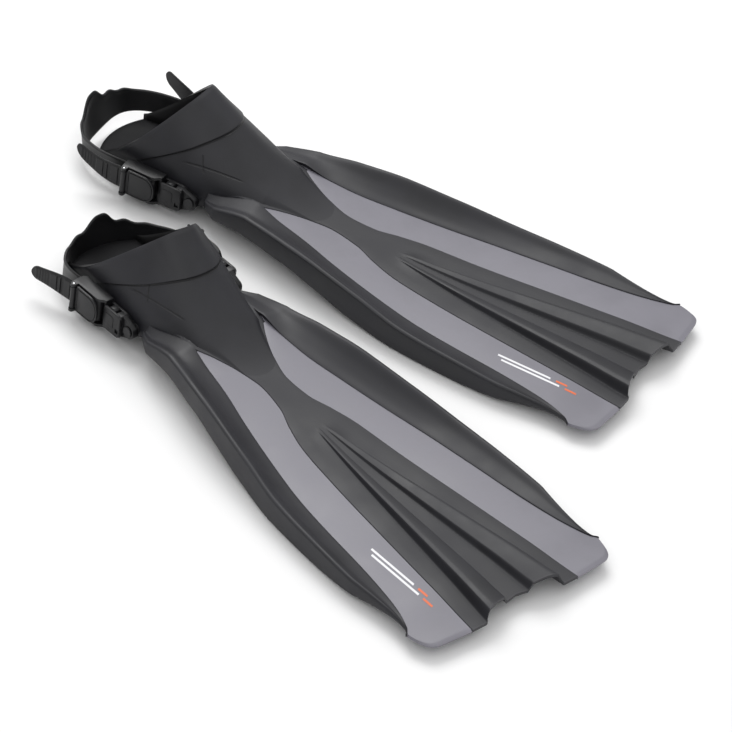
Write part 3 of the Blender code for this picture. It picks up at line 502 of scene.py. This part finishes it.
def web_body():
    """Centre web with its two flutes, between the panels."""
    outer, inner = [], []
    rear = -BLADE_LENGTH - 0.010
    shares = ([0.06 * i for i in range(5)] + stations(0.27, 0.46, 14) + stations(0.48, 0.86, 14)
              + stations(0.88, 1.06, 16))
    for v in stations(0.0, 1.0, 190):
        half = []
        for share in shares:
            tip = TIP_BULGE - 0.013 * max(0.0, 1.0 - share) ** 0.5
            x = mix(rear, tip, v)
            edge = panel_inner(max(x, -BLADE_LENGTH)) - 0.0001
            ahead = max(0.0, (x + FLUTE_LENGTH) / FLUTE_LENGTH)
            growth = FLUTE_HEIGHT * smooth(ahead / 0.07) * min(1.0, ahead ** 0.8)
            wall = min(mix(0.0050, FLUTE_OUTER_HALF, ahead), edge * 0.92 / 1.06)
            y = share * wall
            half.append((x, y, blade_top(x) + flute_height(y, wall, growth) + 0.0008))
        x_rim = mix(rear, TIP_BULGE, v)
        edge = panel_inner(max(x_rim, -BLADE_LENGTH)) + 0.0001
        start = half[-1][1]
        for inset, rise in reversed(web_edge_profile(max(edge - start, 0.0030) * 0.55)):
            half.append((x_rim, edge - inset, blade_top(x_rim) + rise))
        full = [(x, -y, z) for x, y, z in reversed(half[1:])] + half
        outer.append(full)
        inner.append([(x, y, min(z, blade_top(x) + FLUTE_HEIGHT) - BLADE_THICKNESS) for x, y, z in full])
    return shell(outer, inner)


def panel_body(side):
    """Grey panel between the web and a rail."""
    outer, inner = [], []
    rear = -BLADE_LENGTH - 0.004
    for v in stations(0.0, 1.0, 150):
        line, under = [], []
        for column in range(25):
            s = math.sin(column / 24 * math.pi / 2)
            x = mix(rear, tip_line(s) - 0.0002 * s, v)
            y = mix(panel_inner(x) - 0.0006, panel_outer(x) + 0.0008, s)
            crown = 0.0003 * math.sin(math.pi * s)
            fall = 0.0009 * max(0.0, 1.0 - (1.0 - v) / 0.006) ** 2
            line.append((x, side * y, blade_top(x) + crown - fall))
            under.append((x, side * y, blade_top(x) - BLADE_THICKNESS + fall * 0.6))
        outer.append(line)
        inner.append(under)
    return shell(outer, inner)


def rail_body(side):
    """Rail along one edge: a rounded section swept from the foot to the tip."""
    rear, front = -BLADE_LENGTH - RAIL_ROOT, -0.0445 * BLADE_LENGTH
    rings = []
    for v in [0.5 - 0.5 * math.cos(math.pi * t) for t in stations(0.0, 1.0, 130)]:
        x = mix(rear, front, v)
        share = -x / BLADE_LENGTH
        seam = panel_outer(x) if share <= 1.0 else sole_half(x) - 0.0010 * smooth((share - 1.0) / 0.02)
        seam += 0.0001 + 0.0012 * smooth((v - 0.9) / 0.1)
        top = blade_top(max(x, -BLADE_LENGTH))
        top = mix(top, RAIL_ROOT_HEIGHT + 0.001, smooth((share - 1.0) * BLADE_LENGTH / RAIL_ROOT))
        close = min(1.0, math.sqrt(max(0.0, 1.0 - v)) * 2.4, 0.34 + math.sqrt(v) * 3.4)
        width = max(BLADE_HALF_WIDTH * along(RIDGE_OUT, share) - seam, 0.0015) * max(close, 0.12)
        ridge_y = seam + width
        ridge_z = top + RAIL_RISE * along(RIDGE_UP, share) * close + 0.0005
        foot = min(mix(top - BLADE_THICKNESS, along(RAIL_FOOT, share), close), top - BLADE_THICKNESS)
        tall = ridge_z - foot
        lift = 0.0035 * smooth((share - 0.93) / 0.08)
        outline = [(seam, top + 0.0002 + lift), (seam + min(0.0007, 0.05 * width), top + 0.0011 + lift),
                   (seam + 0.28 * width, mix(top, ridge_z, 0.15) + 0.0010 + lift * 0.5),
                   (seam + 0.60 * width, mix(top, ridge_z, 0.54)),
                   (seam + 0.82 * width, mix(top, ridge_z, 0.90)),
                   (seam + 0.93 * width, ridge_z), (ridge_y + 0.0004, ridge_z - min(0.0010, 0.15 * tall)),
                   (ridge_y + 0.0010, ridge_z - min(0.0032, 0.30 * tall)),
                   (ridge_y + 0.0010, mix(ridge_z, foot, 0.60)),
                   (ridge_y - min(0.0002, 0.1 * width), foot + min(0.0020, 0.22 * tall)),
                   (ridge_y - min(0.0016, 0.2 * width), foot + min(0.0003, 0.02 * tall)),
                   (ridge_y - min(0.0032, 0.35 * width), foot),
                   (seam + 0.55 * width, mix(foot, top - BLADE_THICKNESS, 0.22)),
                   (seam + 0.06 * width, top - BLADE_THICKNESS)]
        rings.append([(x, side * y, max(z, 0.0)) for y, z in rounded(outline, 3)])
    return tube(rings)


# ---- foot pocket -------------------------------------------------------------------------------
def rim_point(angle, setback):
    """Point of the pocket's rim; angle is 0 at the top and +-90 degrees at the sole."""
    lift = max(math.cos(angle), 0.0)
    x = SOLE_REAR + setback * lift ** 0.8
    z = mix(SOLE_THICKNESS + 0.0035, RIM_TOP_HEIGHT, lift)
    half = HEEL_HALF_WIDTH + RIM_BULGE * math.sin(math.pi * min(lift * 1.1, 1.0))
    return Vector((x, half * math.copysign(abs(math.sin(angle)) ** 0.72, angle), z))


def front_point(angle):
    """Point where the pocket lands on the blade: round the tongue, then along the panels' edges."""
    turn = abs(angle) / (math.pi / 2)
    narrow = INSTEP_LENGTH - TONGUE_SETBACK - BLADE_LENGTH
    if turn > TONGUE_SHARE:
        x = mix(narrow, -BLADE_LENGTH, smooth((turn - TONGUE_SHARE) / (1 - TONGUE_SHARE)))
        wide = panel_inner(x) - 0.0002
    else:
        x = narrow + TONGUE_SETBACK * (1 - (turn / TONGUE_SHARE) ** 2)
        wide = (panel_inner(narrow) - 0.0002) * turn / TONGUE_SHARE
    return Vector((x, math.copysign(wide, angle), blade_top(x) + 0.0006))


def wall_foot(x):
    """Lowest height of the pocket's surface; the skirt goes on down from there."""
    beside = sole_under(min(x, -BLADE_LENGTH)) + 0.0045
    return mix(beside, blade_top(x) + 0.0005, smooth((x + BLADE_LENGTH + 0.060) / 0.055))


def pocket_point(angle, v, setback):
    """Point of the pocket's surface, from the rim (v = 0) to the blade (v = 1)."""
    rim, front = rim_point(angle, setback), front_point(angle)
    up = max(math.cos(angle), 0.0)
    reach = mix(0.020, 0.046, up)
    first = rim.lerp(front, 0.35) - Vector((0, 0, 0.010 * up))
    second = front - Vector((reach, 0, 0))
    second.y = mix(front.y, rim.y, 0.28)
    second.z = mix(mix(rim.z, front.z, 0.72), blade_top(second.x) + 0.0015, up)
    w = 1.0 - v
    point = w ** 3 * rim + 3 * w * w * v * first + 3 * w * v * v * second + v ** 3 * front
    side = abs(math.sin(angle))
    wall = sole_half(point.x) if point.x < -BLADE_LENGTH else panel_inner(point.x) - 0.0002
    full = wall - abs(rim.y) * w - abs(front.y) * v
    point.y += math.copysign(max(full, 0.0) * side ** 2 * math.sin(math.pi * v) ** 0.7, angle)
    point.z = max(point.z, wall_foot(point.x))
    return point


def collar_edge(angle, setback):
    """Share of the instep at which the smooth band ends."""
    turn = min(abs(math.degrees(angle)) / COLLAR_REACH, 1.25)
    wide = mix(COLLAR_SIDE_SHARE, 1.0, max(math.cos(turn * math.pi / 2), 0.0))
    length = (rim_point(0.0, setback) - front_point(0.0)).length
    return COLLAR_WIDTH / length * wide


def pocket_body(setback):
    """Upper with its raised band, a rolled rim and a wall that runs down to the floor."""
    outer, inner, marks = [], [], []
    angles = stations(-math.pi / 2, math.pi / 2, 161)
    length = (rim_point(0.0, setback) - front_point(0.0)).length
    for v in [t ** 1.05 for t in stations(0.0, 1.0, 131)]:
        line, under, mark = [], [], []
        for angle in angles:
            step = 0.01
            low, high = max(angle - step, -math.pi / 2), min(angle + step, math.pi / 2)
            across = pocket_point(high, v, setback) - pocket_point(low, v, setback)
            ahead, behind = min(v + step, 1.0), max(v - step, 0.0)
            down = pocket_point(angle, ahead, setback) - pocket_point(angle, behind, setback)
            point = pocket_point(angle, v, setback)
            outward = Vector((0.0, point.y * 40, 1.0)).normalized()
            normal = down.cross(across).normalized().lerp(outward, smooth((v - 0.55) / 0.25)).normalized()
            past = (v - collar_edge(angle, setback)) * length
            band = 1.0 - smooth((past + 0.0008) / 0.0016)
            fade = 1.0 - smooth((abs(math.degrees(angle)) - COLLAR_REACH) / 8.0)
            roll = 0.0006 * (1.0 - smooth(v * length / 0.004))
            lift = 0.0014 * band * fade - roll
            out = point + normal * lift
            deep = point - normal * (POCKET_WALL - roll)
            floor = sole_top(deep.x) if deep.x < -BLADE_LENGTH else blade_top(deep.x)
            deep.z = min(max(deep.z, floor - 0.0010, 0.004), out.z - 0.0004 if v > 0.6 else 1.0)
            line.append(out)
            under.append(deep)
            mark.append((math.degrees(angle) / (COLLAR_REACH + 8.0), past))
        for end, grow in ((0, -1), (-1, 1)):
            edge, deep, note = line[end], under[end], mark[end]
            skirt = []
            for share in (0.15, 0.35, 0.6, 0.85, 1.0):
                z = mix(edge.z, sole_under(min(edge.x, -BLADE_LENGTH)) + 0.0002, share)
                belly = 0.0012 * math.sin(math.pi * share)
                outside = Vector((edge.x, edge.y + grow * belly, z))
                inside = Vector((edge.x, deep.y, z + 0.0004))
                skirt.append((outside, inside, (note[0] + grow * share, note[1] + 1.0)))
            if end == 0:
                skirt.reverse()
            for row, column in ((line, 0), (under, 1), (mark, 2)):
                extra = [item[column] for item in skirt]
                row[:] = extra + row if end == 0 else row + extra
        outer.append(line)
        inner.append(under)
        marks.append(mark)
    return shell(outer, inner, uv=marks)


def insole_body():
    """Footbed with a shallow dish."""
    outer, inner = [], []
    for v in stations(0.0, 1.0, 90):
        x = mix(SOLE_REAR, -BLADE_LENGTH + 0.004, v)
        half = sole_half(x) - 0.0012
        bow = HEEL_BULGE * (1 - smooth((x - SOLE_REAR) / (0.35 * FOOT_LENGTH)))
        line, under = [], []
        for y in stations(-1.0, 1.0, 41):
            px = x - bow * (1 - y * y)
            edge = max(0.0, 1.0 - (x - SOLE_REAR) / 0.006)
            dip = 0.0016 * (1 - y * y) ** 0.5 * smooth((x - SOLE_REAR) / 0.02)
            top = sole_top(x) - 0.0018 * edge ** 2 - dip
            line.append((px, y * half, top))
            under.append((px, y * half, sole_under(x) + 0.0012 * edge ** 2 + 0.0002))
        outer.append(line)
        inner.append(under)
    return shell(outer, inner)


# ---- heel strap --------------------------------------------------------------------------------
def even(items, step):
    """Points along a plan curve at an even spacing, with their share carried along."""
    kept, travelled = [items[0]], 0.0
    for before, after in zip(items, items[1:]):
        travelled += math.dist(before[:2], after[:2])
        if travelled >= step:
            kept.append(after)
            travelled = 0.0
    return kept + [items[-1]]


def strap_line(name, word):
    """Half of the strap's middle line in plan: from a loose end to the heel.

    Every item has the point, how free it is of the buckle and how far it lies from the end's tip.
    """
    reach = ROLLER_RADIUS + ROLLER_GAP + STRAP_THICKNESS / 2
    x, y = STUD_X - ROLLER_U, ROLLER_N
    line = []
    length = TAIL_LENGTH[name + "_" + word]
    for t in stations(1.0, 0.0, 190):
        free = max(0.0, (t * length - TAIL_HELD) / (length - TAIL_HELD))
        line.append((x - length * t, y + reach + TAIL_FLARE[name] * free ** 1.3, free, length * (1.0 - t)))
    for angle in stations(90.0, -90.0, 25)[1:]:
        turn = math.radians(angle)
        line.append((x + reach * math.cos(turn), y + reach * math.sin(turn), 0.0, 1.0))
    heel, straight = SOLE_REAR - STRAP_REACH[name] - STRAP_THICKNESS / 2, STUD_X - FRAME_REAR
    inner, roundness = y - reach, STRAP_ROUND[name]
    bend = [(mix(x, straight, t), inner, 0.0, 1.0) for t in stations(0.0, 1.0, 60)]
    for t in stations(0.0, 1.0, 1500)[1:]:
        turn = (1 - (1 - t) ** (1 / roundness)) * math.pi / 2
        across = inner * max(math.cos(turn), 0.0) ** roundness
        bend.append((mix(straight, heel, math.sin(turn)), across, 0.0, 1.0))
    return line + even(bend, 0.0011)


def tail_rib(distance):
    """Raised blocks and grooves across the loose end, by distance from its tip."""
    if distance < TIP_RIBS:
        return 0.0
    if distance < TAIL_BLOCKS:
        cell = (distance - TIP_RIBS) % TIP_RIB_PITCH
        return 0.0005 * smooth(cell / 0.0005) * (1 - smooth((cell - 0.0020) / 0.0005))
    cell = (distance - TAIL_BLOCKS) % TAIL_BLOCK_PITCH
    block = smooth((cell - 0.0012) / 0.0006) * (1 - smooth((cell - 0.0086) / 0.0006))
    ridge = smooth((cell - 0.0108) / 0.0005) * (1 - smooth((cell - 0.0132) / 0.0005))
    return 0.0011 * block + 0.0014 * ridge


STRAP_SECTION = ((0.0, 0.15), (0.02, 0.75), (0.05, 1.0), (0.09, 1.0), (0.12, 1.0), (0.3, 1.0), (0.5, 1.0),
                 (0.7, 1.0), (0.88, 1.0), (0.91, 1.0), (0.95, 1.0), (0.98, 0.75), (1.0, 0.15))


def strap_body(name):
    """Strap with its finger tab at the heel and its ribbed loose ends."""
    left, right = strap_line(name, "left"), strap_line(name, "right")
    path = left + [(x, -y, free, distance) for x, y, free, distance in reversed(right[:-1])]
    heel, start = SOLE_REAR - STRAP_REACH[name], STUD_X - FRAME_REAR
    rings = []
    for index, (x, y, free, distance) in enumerate(path):
        before, after = path[max(index - 1, 0)], path[min(index + 1, len(path) - 1)]
        run = Vector((after[0] - before[0], after[1] - before[1], 0)).normalized()
        side = Vector((run.y, -run.x, 0)) * (-STRAP_THICKNESS / 2)
        back = smooth((start - x) / (start - heel)) if abs(y) < ROLLER_N else 0.0
        power = TAIL_CURL_POWER[name + ("_left" if y > 0 else "_right")]
        drop = mix(*STRAP_HEEL_DROP[name], smooth(0.5 + y / 0.08))
        middle = STUD_HEIGHT - drop * back + TAIL_CURL[name] * free ** power
        half = STRAP_WIDTH / 2 * mix(1.0, TAIL_TIP_SHARE, smooth(free))
        if distance < TAIL_ROUND_END:
            half *= math.sqrt(max(0.02, 1.0 - (1.0 - distance / TAIL_ROUND_END) ** 2))
        tab = 0.0
        if back > 0.0:
            off = abs(y - STRAP_TAB_SHIFT[name])
            tab = STRAP_TAB_HEIGHT * math.exp(-(off / TAB_HALF_WIDTH) ** 2.8)
            for height, away, spread in TAB_SHOULDERS:
                tab += height * math.exp(-((off - away) / spread) ** 2)
        low, high = middle - half, middle + half + tab
        rib = tail_rib(distance) if distance < TAIL_RIBBED and free > 0.0 else 0.0
        lip = 0.35 * smooth(back * 3)
        ring = []
        for face, section in ((1, STRAP_SECTION), (-1, reversed(STRAP_SECTION))):
            for share, out in section:
                swell = out * (1 + lip * (share > 0.9))
                if face == 1 and 0.10 < share < 0.90:
                    swell += rib * 2 / STRAP_THICKNESS
                z = mix(low, high, share)
                leaned = x - STRAP_LEAN[name] * back * (z - low) / STRAP_LEAN_HEIGHT
                ring.append(Vector((leaned, y, z)) + side * face * swell)
        rings.append(ring)
    return tube(rings)


# ---- buckles -----------------------------------------------------------------------------------
def at(side, u, n, z):
    """Point of a buckle: u back from the stud, n out from the middle plane, z up."""
    return (STUD_X - u, side * n, STUD_HEIGHT + z)


def buckle_frame_of(side):
    """Flat outlines in (u, z), thickness along n."""
    return lambda u, z, n: at(side, u, n, z)


def cheek_frame_of(side):
    """Flat outlines in (u, n), thickness along z."""
    return lambda u, n, z: at(side, u, n, z)


def circle(u, z, radius, steps=28):
    return [(u + radius * math.cos(2 * math.pi * i / steps), z + radius * math.sin(2 * math.pi * i / steps))
            for i in range(steps)]


def stud_body(side):
    """Stud with its flange and the head that holds the receiver's eye."""
    builder = bmesh.new()
    head, tip = EYE_BASE + 0.0074, EYE_BASE + 0.0088
    rod(builder, at(side, 0, STUD_BASE, 0), at(side, 0, STUD_BASE + STUD_FLANGE, 0), STUD_HEAD_RADIUS)
    rod(builder, at(side, 0, STUD_BASE + STUD_FLANGE / 2, 0), at(side, 0, head + 0.0006, 0), STUD_RADIUS)
    rod(builder, at(side, 0, head, 0), at(side, 0, tip, 0), STUD_HEAD_RADIUS, bevel=0.0005)
    return builder


def receiver_body(side):
    """Female half of the buckle: eye, box, window and thumb pad."""
    face = buckle_frame_of(side)
    builder = bmesh.new()
    nose = rounded(((-0.0074, 0.0), (-0.0060, 0.0046), (-0.0018, 0.0074), (0.0040, 0.0096),
                    (0.0095, 0.0120), (0.0150, CLIP_HALF)), 4)
    mouth = [(CLIP_LENGTH - 0.0014, CLIP_HALF), (CLIP_LENGTH - 0.0002, 0.0120), (CLIP_LENGTH, 0.0108)]
    half = nose + mouth
    full = half + [(u, -z) for u, z in reversed(half[1:])]
    neck = [p for p in nose if p[0] < 0.0098] + [(0.0100, 0.0121)]
    neck = neck + [(u, -z) for u, z in reversed(neck[1:])]
    hole = circle(0.0, 0.0, EYE_HOLE)
    front_wall = box_outline((0.0082, -0.0121), (0.0160, 0.0121), 0.0012)
    upper = [(0.0078, 0.0105), (0.0100, 0.0122), (0.0150, CLIP_HALF)] + mouth
    upper = upper + [(u, -z) for u, z in reversed(upper)]
    window = [(0.0094, -0.0080), (0.0136, -0.0080), (0.0136, -0.0038), (0.0094, -0.0038)]
    thumb_pad = box_outline((0.0165, -0.0070), (0.0290, 0.0070), 0.0030)
    plate(builder, [full, hole], CLIP_LOW, CLIP_LOW + CLIP_WALL, 0.0004, face)
    plate(builder, [neck, hole], CLIP_LOW, CLIP_LOW + 0.0070, 0.0006, face)
    plate(builder, [front_wall], CLIP_LOW + 0.0012, CLIP_HIGH - 0.0018, 0.0004, face)
    plate(builder, [upper, window], CLIP_HIGH - 0.0030, CLIP_HIGH, 0.0007, face)
    plate(builder, [thumb_pad], CLIP_HIGH - 0.0006, CLIP_HIGH + 0.0005, 0.0004, face)
    return builder


def frame_body(side):
    """Male half of the buckle: two cheeks, cross bar, tongue and roller."""
    face, cheek = buckle_frame_of(side), cheek_frame_of(side)
    builder = bmesh.new()
    half, front, rear = FRAME_INSIDE, FRAME_FRONT, FRAME_REAR
    outline = [(front, FRAME_LOW), (front, CLIP_HIGH - CLIP_WALL), (front + 0.0022, CLIP_HIGH - 0.0018),
               (front + 0.0050, FRAME_HIGH - 0.0012), (front + 0.0080, FRAME_HIGH),
               (LEVER_PIN_U - 0.0032, FRAME_HIGH)]
    for turn in stations(150.0, 0.0, 6):
        angle = math.radians(turn)
        outline.append((LEVER_PIN_U + LUG_RADIUS * math.cos(angle),
                        LEVER_PIN_N + LUG_RADIUS * math.sin(angle)))
    outline += [(rear, FRAME_HIGH - 0.0030), (rear, FRAME_LOW + 0.0030), (rear - 0.0020, FRAME_LOW)]
    hole = circle(LEVER_PIN_U, LEVER_PIN_N, 0.0014, 16)
    for low in (-half - FRAME_CHEEK, half):
        plate(builder, [outline, hole], low, low + FRAME_CHEEK, 0.0004, cheek)
    cross_bar = box_outline((front, -half - 0.0026), (front + 0.0034, half + 0.0026), 0.0008)
    tongue = box_outline((front - 0.0150, -0.0026), (front + 0.002, 0.0026), 0.0010)
    plate(builder, [cross_bar], FRAME_LOW, CLIP_HIGH - CLIP_WALL, 0.0005, face)
    plate(builder, [tongue], CLIP_LOW + CLIP_WALL, CLIP_HIGH - CLIP_WALL, 0.0005, face)
    rod(builder, at(side, ROLLER_U, ROLLER_N, -half - 0.001), at(side, ROLLER_U, ROLLER_N, half + 0.001),
        ROLLER_RADIUS)
    return builder


def arm_body(side, up):
    """Sprung release arm with its finger pad."""
    face = buckle_frame_of(side)
    builder = bmesh.new()
    low, high = CLIP_LOW + CLIP_WALL, CLIP_HIGH - CLIP_WALL
    strip = box_outline((FRAME_FRONT - ARM_LENGTH, ARM_NEAR), (FRAME_FRONT - 0.0004, ARM_FAR), 0.0010)
    pad = [(0.0185, 0.0076), (0.0187, 0.0118), (0.0200, 0.0131), (0.0225, 0.0134), (0.0255, 0.0130),
           (0.0272, 0.0115), (0.0276, 0.0076)]
    for outline in (strip, pad):
        plate(builder, [[(u, up * z) for u, z in outline]], low, high, 0.0005, face)
    return builder


def lever_body(side):
    """Cover lever: a D-shaped plate, a groove inside its edge, and a barrel on the pin."""
    face = buckle_frame_of(side)
    builder = bmesh.new()
    front, rear, half = FRAME_FRONT + 0.0032, LEVER_PIN_U - 0.0039, LEVER_HALF_WIDTH
    inside = STRAP_WIDTH / 2

    def outline(inset):
        radius = half * 0.88 - inset
        points = [(rear - inset, -half + inset + 0.0008), (rear - inset, half - inset - 0.0008),
                  (rear - inset - 0.0008, half - inset)]
        for corner, start in ((1, 90.0), (-1, 0.0)):
            for angle in stations(start, start - 90.0, 9):
                turn = math.radians(angle)
                points.append((front + inset + radius - radius * math.cos(turn),
                               corner * (half - inset - radius) + radius * math.sin(turn)))
        points.append((rear - inset - 0.0008, -half + inset))
        return points

    low, high = LEVER_LOW, LEVER_LOW + LEVER_THICKNESS
    bridge = box_outline((LEVER_PIN_U - 0.0055, -inside + 0.0006), (LEVER_PIN_U, inside - 0.0006), 0.0006)
    plate(builder, [outline(0.0)], low, low + 0.0016, 0.0004, face)
    plate(builder, [outline(0.0), outline(0.0013)], low + 0.0010, high, 0.0003, face)
    plate(builder, [outline(0.0021)], low + 0.0010, high + 0.0002, 0.0005, face)
    rod(builder, at(side, LEVER_PIN_U, LEVER_PIN_N, -inside + 0.0002),
        at(side, LEVER_PIN_U, LEVER_PIN_N, inside - 0.0002), LEVER_BARREL)
    plate(builder, [bridge], low + 0.0002, high - 0.0002, 0.0003, face)
    return builder


def pin_body(side):
    """Steel pin of the lever."""
    reach = FRAME_INSIDE + FRAME_CHEEK
    builder = bmesh.new()
    rod(builder, at(side, LEVER_PIN_U, LEVER_PIN_N, -reach),
        at(side, LEVER_PIN_U, LEVER_PIN_N, reach), PIN_RADIUS, 20)
    return builder


def accent_body(bars, side):
    """Thin printed bars on a panel, each (x from, x to, y from, y to)."""
    builder = bmesh.new()
    for x0, x1, y0, y1 in bars:
        outer, inner = [], []
        for x in stations(x0, x1, 12):
            line, under = [], []
            for y in stations(y0, y1, 4):
                z = blade_top(x) + 0.00038
                line.append((x + 0.35 * (y - y0), side * y, z))
                under.append((x + 0.35 * (y - y0), side * y, z - 0.0004))
            outer.append(line)
            inner.append(under)
        part = shell(outer, inner)
        mesh = bpy.data.meshes.new("bar")
        part.to_mesh(mesh)
        part.free()
        builder.from_mesh(mesh)
        bpy.data.meshes.remove(mesh)
    return builder


# ---- build -------------------------------------------------------------------------------------
def fin_place(name):
    """Matrix from the fin's own frame to the row's frame, from its two studs."""
    middles = []
    for word in ("right", "left"):
        low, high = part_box(name + "_stud_" + word)
        middles.append((Vector(low) + Vector(high)) / 2)
    across = (middles[1] - middles[0]).normalized()
    turn = Matrix.Rotation(math.atan2(-across.x, across.y), 4, 'Z')
    place = (middles[0] + middles[1]) / 2 - turn @ Vector((STUD_X, 0, 0))
    place.z = 0.0
    return Matrix.Translation(place) @ turn


def build_fin(name, looks):
    """All pieces of one fin, each with its body and the CAD nodes it replaces."""
    place = fin_place(name)
    creases = [(place @ Vector(start), place @ Vector(end), place.to_3x3() @ Vector(up), width)
               for start, end, up, width in CREASES]
    upper = moulded(name + "_upper_rubber", BLACK, 0.52, lines=creases, groove=0.0013, gloss=0.42)
    shades = dict(looks, upper=upper)

    def put(piece, builder, look, rider, nodes, sharp=40):
        """Add a piece of this fin: its own, its body's and its nodes' names get the fin's name."""
        replaced = [name + "_" + node for node in nodes]
        body = name + "_" + rider
        add_piece(name + "_" + piece, builder, place, shades[look], body, replaced, sharp)

    put("upper", pocket_body(RIM_TOP_SETBACK[name]), "upper", "fin", ("foot_pocket", "collar"),
        50)
    put("web", web_body(), "rubber", "fin", ("flute_web",), 50)
    put("insole", insole_body(), "sole", "fin", ("footbed",))
    put("strap_band", strap_body(name), "strap", "strap", ("heel_strap",), 35)
    for word, side in (("right", -1), ("left", 1)):
        lever = "lever_" + word
        put("blade_panel_" + word, panel_body(side), "grey", "fin", ("panel_" + word,))
        put("side_rail_" + word, rail_body(side), "rubber", "fin", ("rail_" + word,), 50)
        put("post_" + word, stud_body(side), "clip", "fin", ("stud_" + word,))
        put("socket_" + word, receiver_body(side), "clip", "clips", ("receiver_" + word,))
        put("buckle_" + word, frame_body(side), "clip", "strap", ("buckle_frame_" + word,))
        put("cover_" + word, lever_body(side), "clip", lever + "_body", (lever,))
        put("pin_" + word, pin_body(side), "steel", "strap", ("lever_pin_" + word,))
        for kind, up in (("upper", 1), ("lower", -1)):
            arm = kind + "_arm_" + word
            put(kind + "_prong_" + word, arm_body(side, up), "clip", arm + "_body", (arm,))
    put("accent_pale", accent_body(ACCENT_PALE, -1), "pale", "fin", ())
    put("accent_warm", accent_body(ACCENT_WARM, -1), "warm", "fin", ())


def studio():
    """Pale floor, a sky that is brighter overhead, and two soft lamps."""
    floor = bmesh.new()
    bmesh.ops.create_grid(floor, x_segments=2, y_segments=2, size=40.0)
    mesh = bpy.data.meshes.new("studio_floor")
    floor.to_mesh(mesh)
    mesh.materials.append(studio_floor("studio_floor"))
    ground = bpy.data.objects.new("studio_floor", mesh)
    ground.location.z = -0.0005
    bpy.context.scene.collection.objects.link(ground)
    world = bpy.data.worlds.new("studio")
    world.use_nodes = True
    nodes, links = world.node_tree.nodes, world.node_tree.links
    split = nodes.new("ShaderNodeSeparateXYZ")
    links.new(nodes.new("ShaderNodeTexCoord").outputs["Generated"], split.inputs[0])
    sky = ramp(nodes, links, split.outputs[2], 0.0, 0.85)
    background = nodes["Background"]
    links.new(tint(nodes, links, sky, (0.30, 0.30, 0.31), (1.16, 1.16, 1.16)), background.inputs["Color"])
    background.inputs["Strength"].default_value = 0.80
    bpy.context.scene.world = world
    for name, place, size, power in (("key", (-1.6, 1.2, 2.6), 2.0, 60.0),
                                     ("fill", (1.4, -2.2, 1.8), 2.4, 14.0)):
        lamp = bpy.data.lights.new(name, 'AREA')
        lamp.size = size
        lamp.energy = power
        thing = bpy.data.objects.new(name, lamp)
        thing.location = place
        thing.rotation_euler = (-Vector(place)).to_track_quat('-Z', 'Y').to_euler()
        bpy.context.scene.collection.objects.link(thing)
    bpy.context.scene.view_settings.view_transform = 'Standard'


def camera():
    """Camera turned by azimuth, elevation and roll round a point on the near fin."""
    place = fin_place("near")
    az, el, roll = CAMERA_AZIMUTH, CAMERA_ELEVATION, CAMERA_ROLL
    back = Vector((math.sin(az) * math.cos(el), -math.cos(az) * math.cos(el), math.sin(el)))
    right = (-back).cross(Vector((0, 0, 1))).normalized()
    up = right.cross(-back)
    rolled = right * math.cos(roll) + up * math.sin(roll)
    over = up * math.cos(roll) - right * math.sin(roll)
    turn = Matrix((rolled, over, back)).transposed().to_4x4()
    turn.translation = Vector(CAMERA_TARGET) + back * CAMERA_DISTANCE
    lens = bpy.data.cameras.new("camera")
    lens.lens = CAMERA_LENS
    lens.sensor_width = 36.0
    lens.clip_end = 50.0
    eye = bpy.data.objects.new("camera", lens)
    eye.matrix_world = place @ turn
    bpy.context.scene.collection.objects.link(eye)
    bpy.context.scene.camera = eye


camera()
studio()
LOOKS = {
    "rubber": moulded("blade_rubber", BLACK, 0.50, gloss=0.42),
    "sole": moulded("sole_rubber", (0.007, 0.007, 0.008), 0.70, grain=0.35, gloss=0.20),
    "strap": moulded("strap_rubber", (0.008, 0.008, 0.009), 0.46, grain=0.12, gloss=0.40),
    "clip": moulded("clip_plastic", (0.006, 0.006, 0.007), 0.36, grain=0.05, edge_highlight=0.3, gloss=0.38),
    "grey": moulded("panel_plastic", GREY, 0.40, grain=0.06, mottle=0.05, edge_highlight=0.1),
    "pale": moulded("accent_pale", (0.78, 0.78, 0.80), 0.45, grain=0.03, mottle=0.03, edge_highlight=0.0),
    "warm": moulded("accent_warm", (0.72, 0.13, 0.03), 0.45, grain=0.03, mottle=0.05, edge_highlight=0.0),
    "steel": brushed_steel("pin_steel"),
}
for fin in ("near", "far"):
    build_fin(fin, LOOKS)
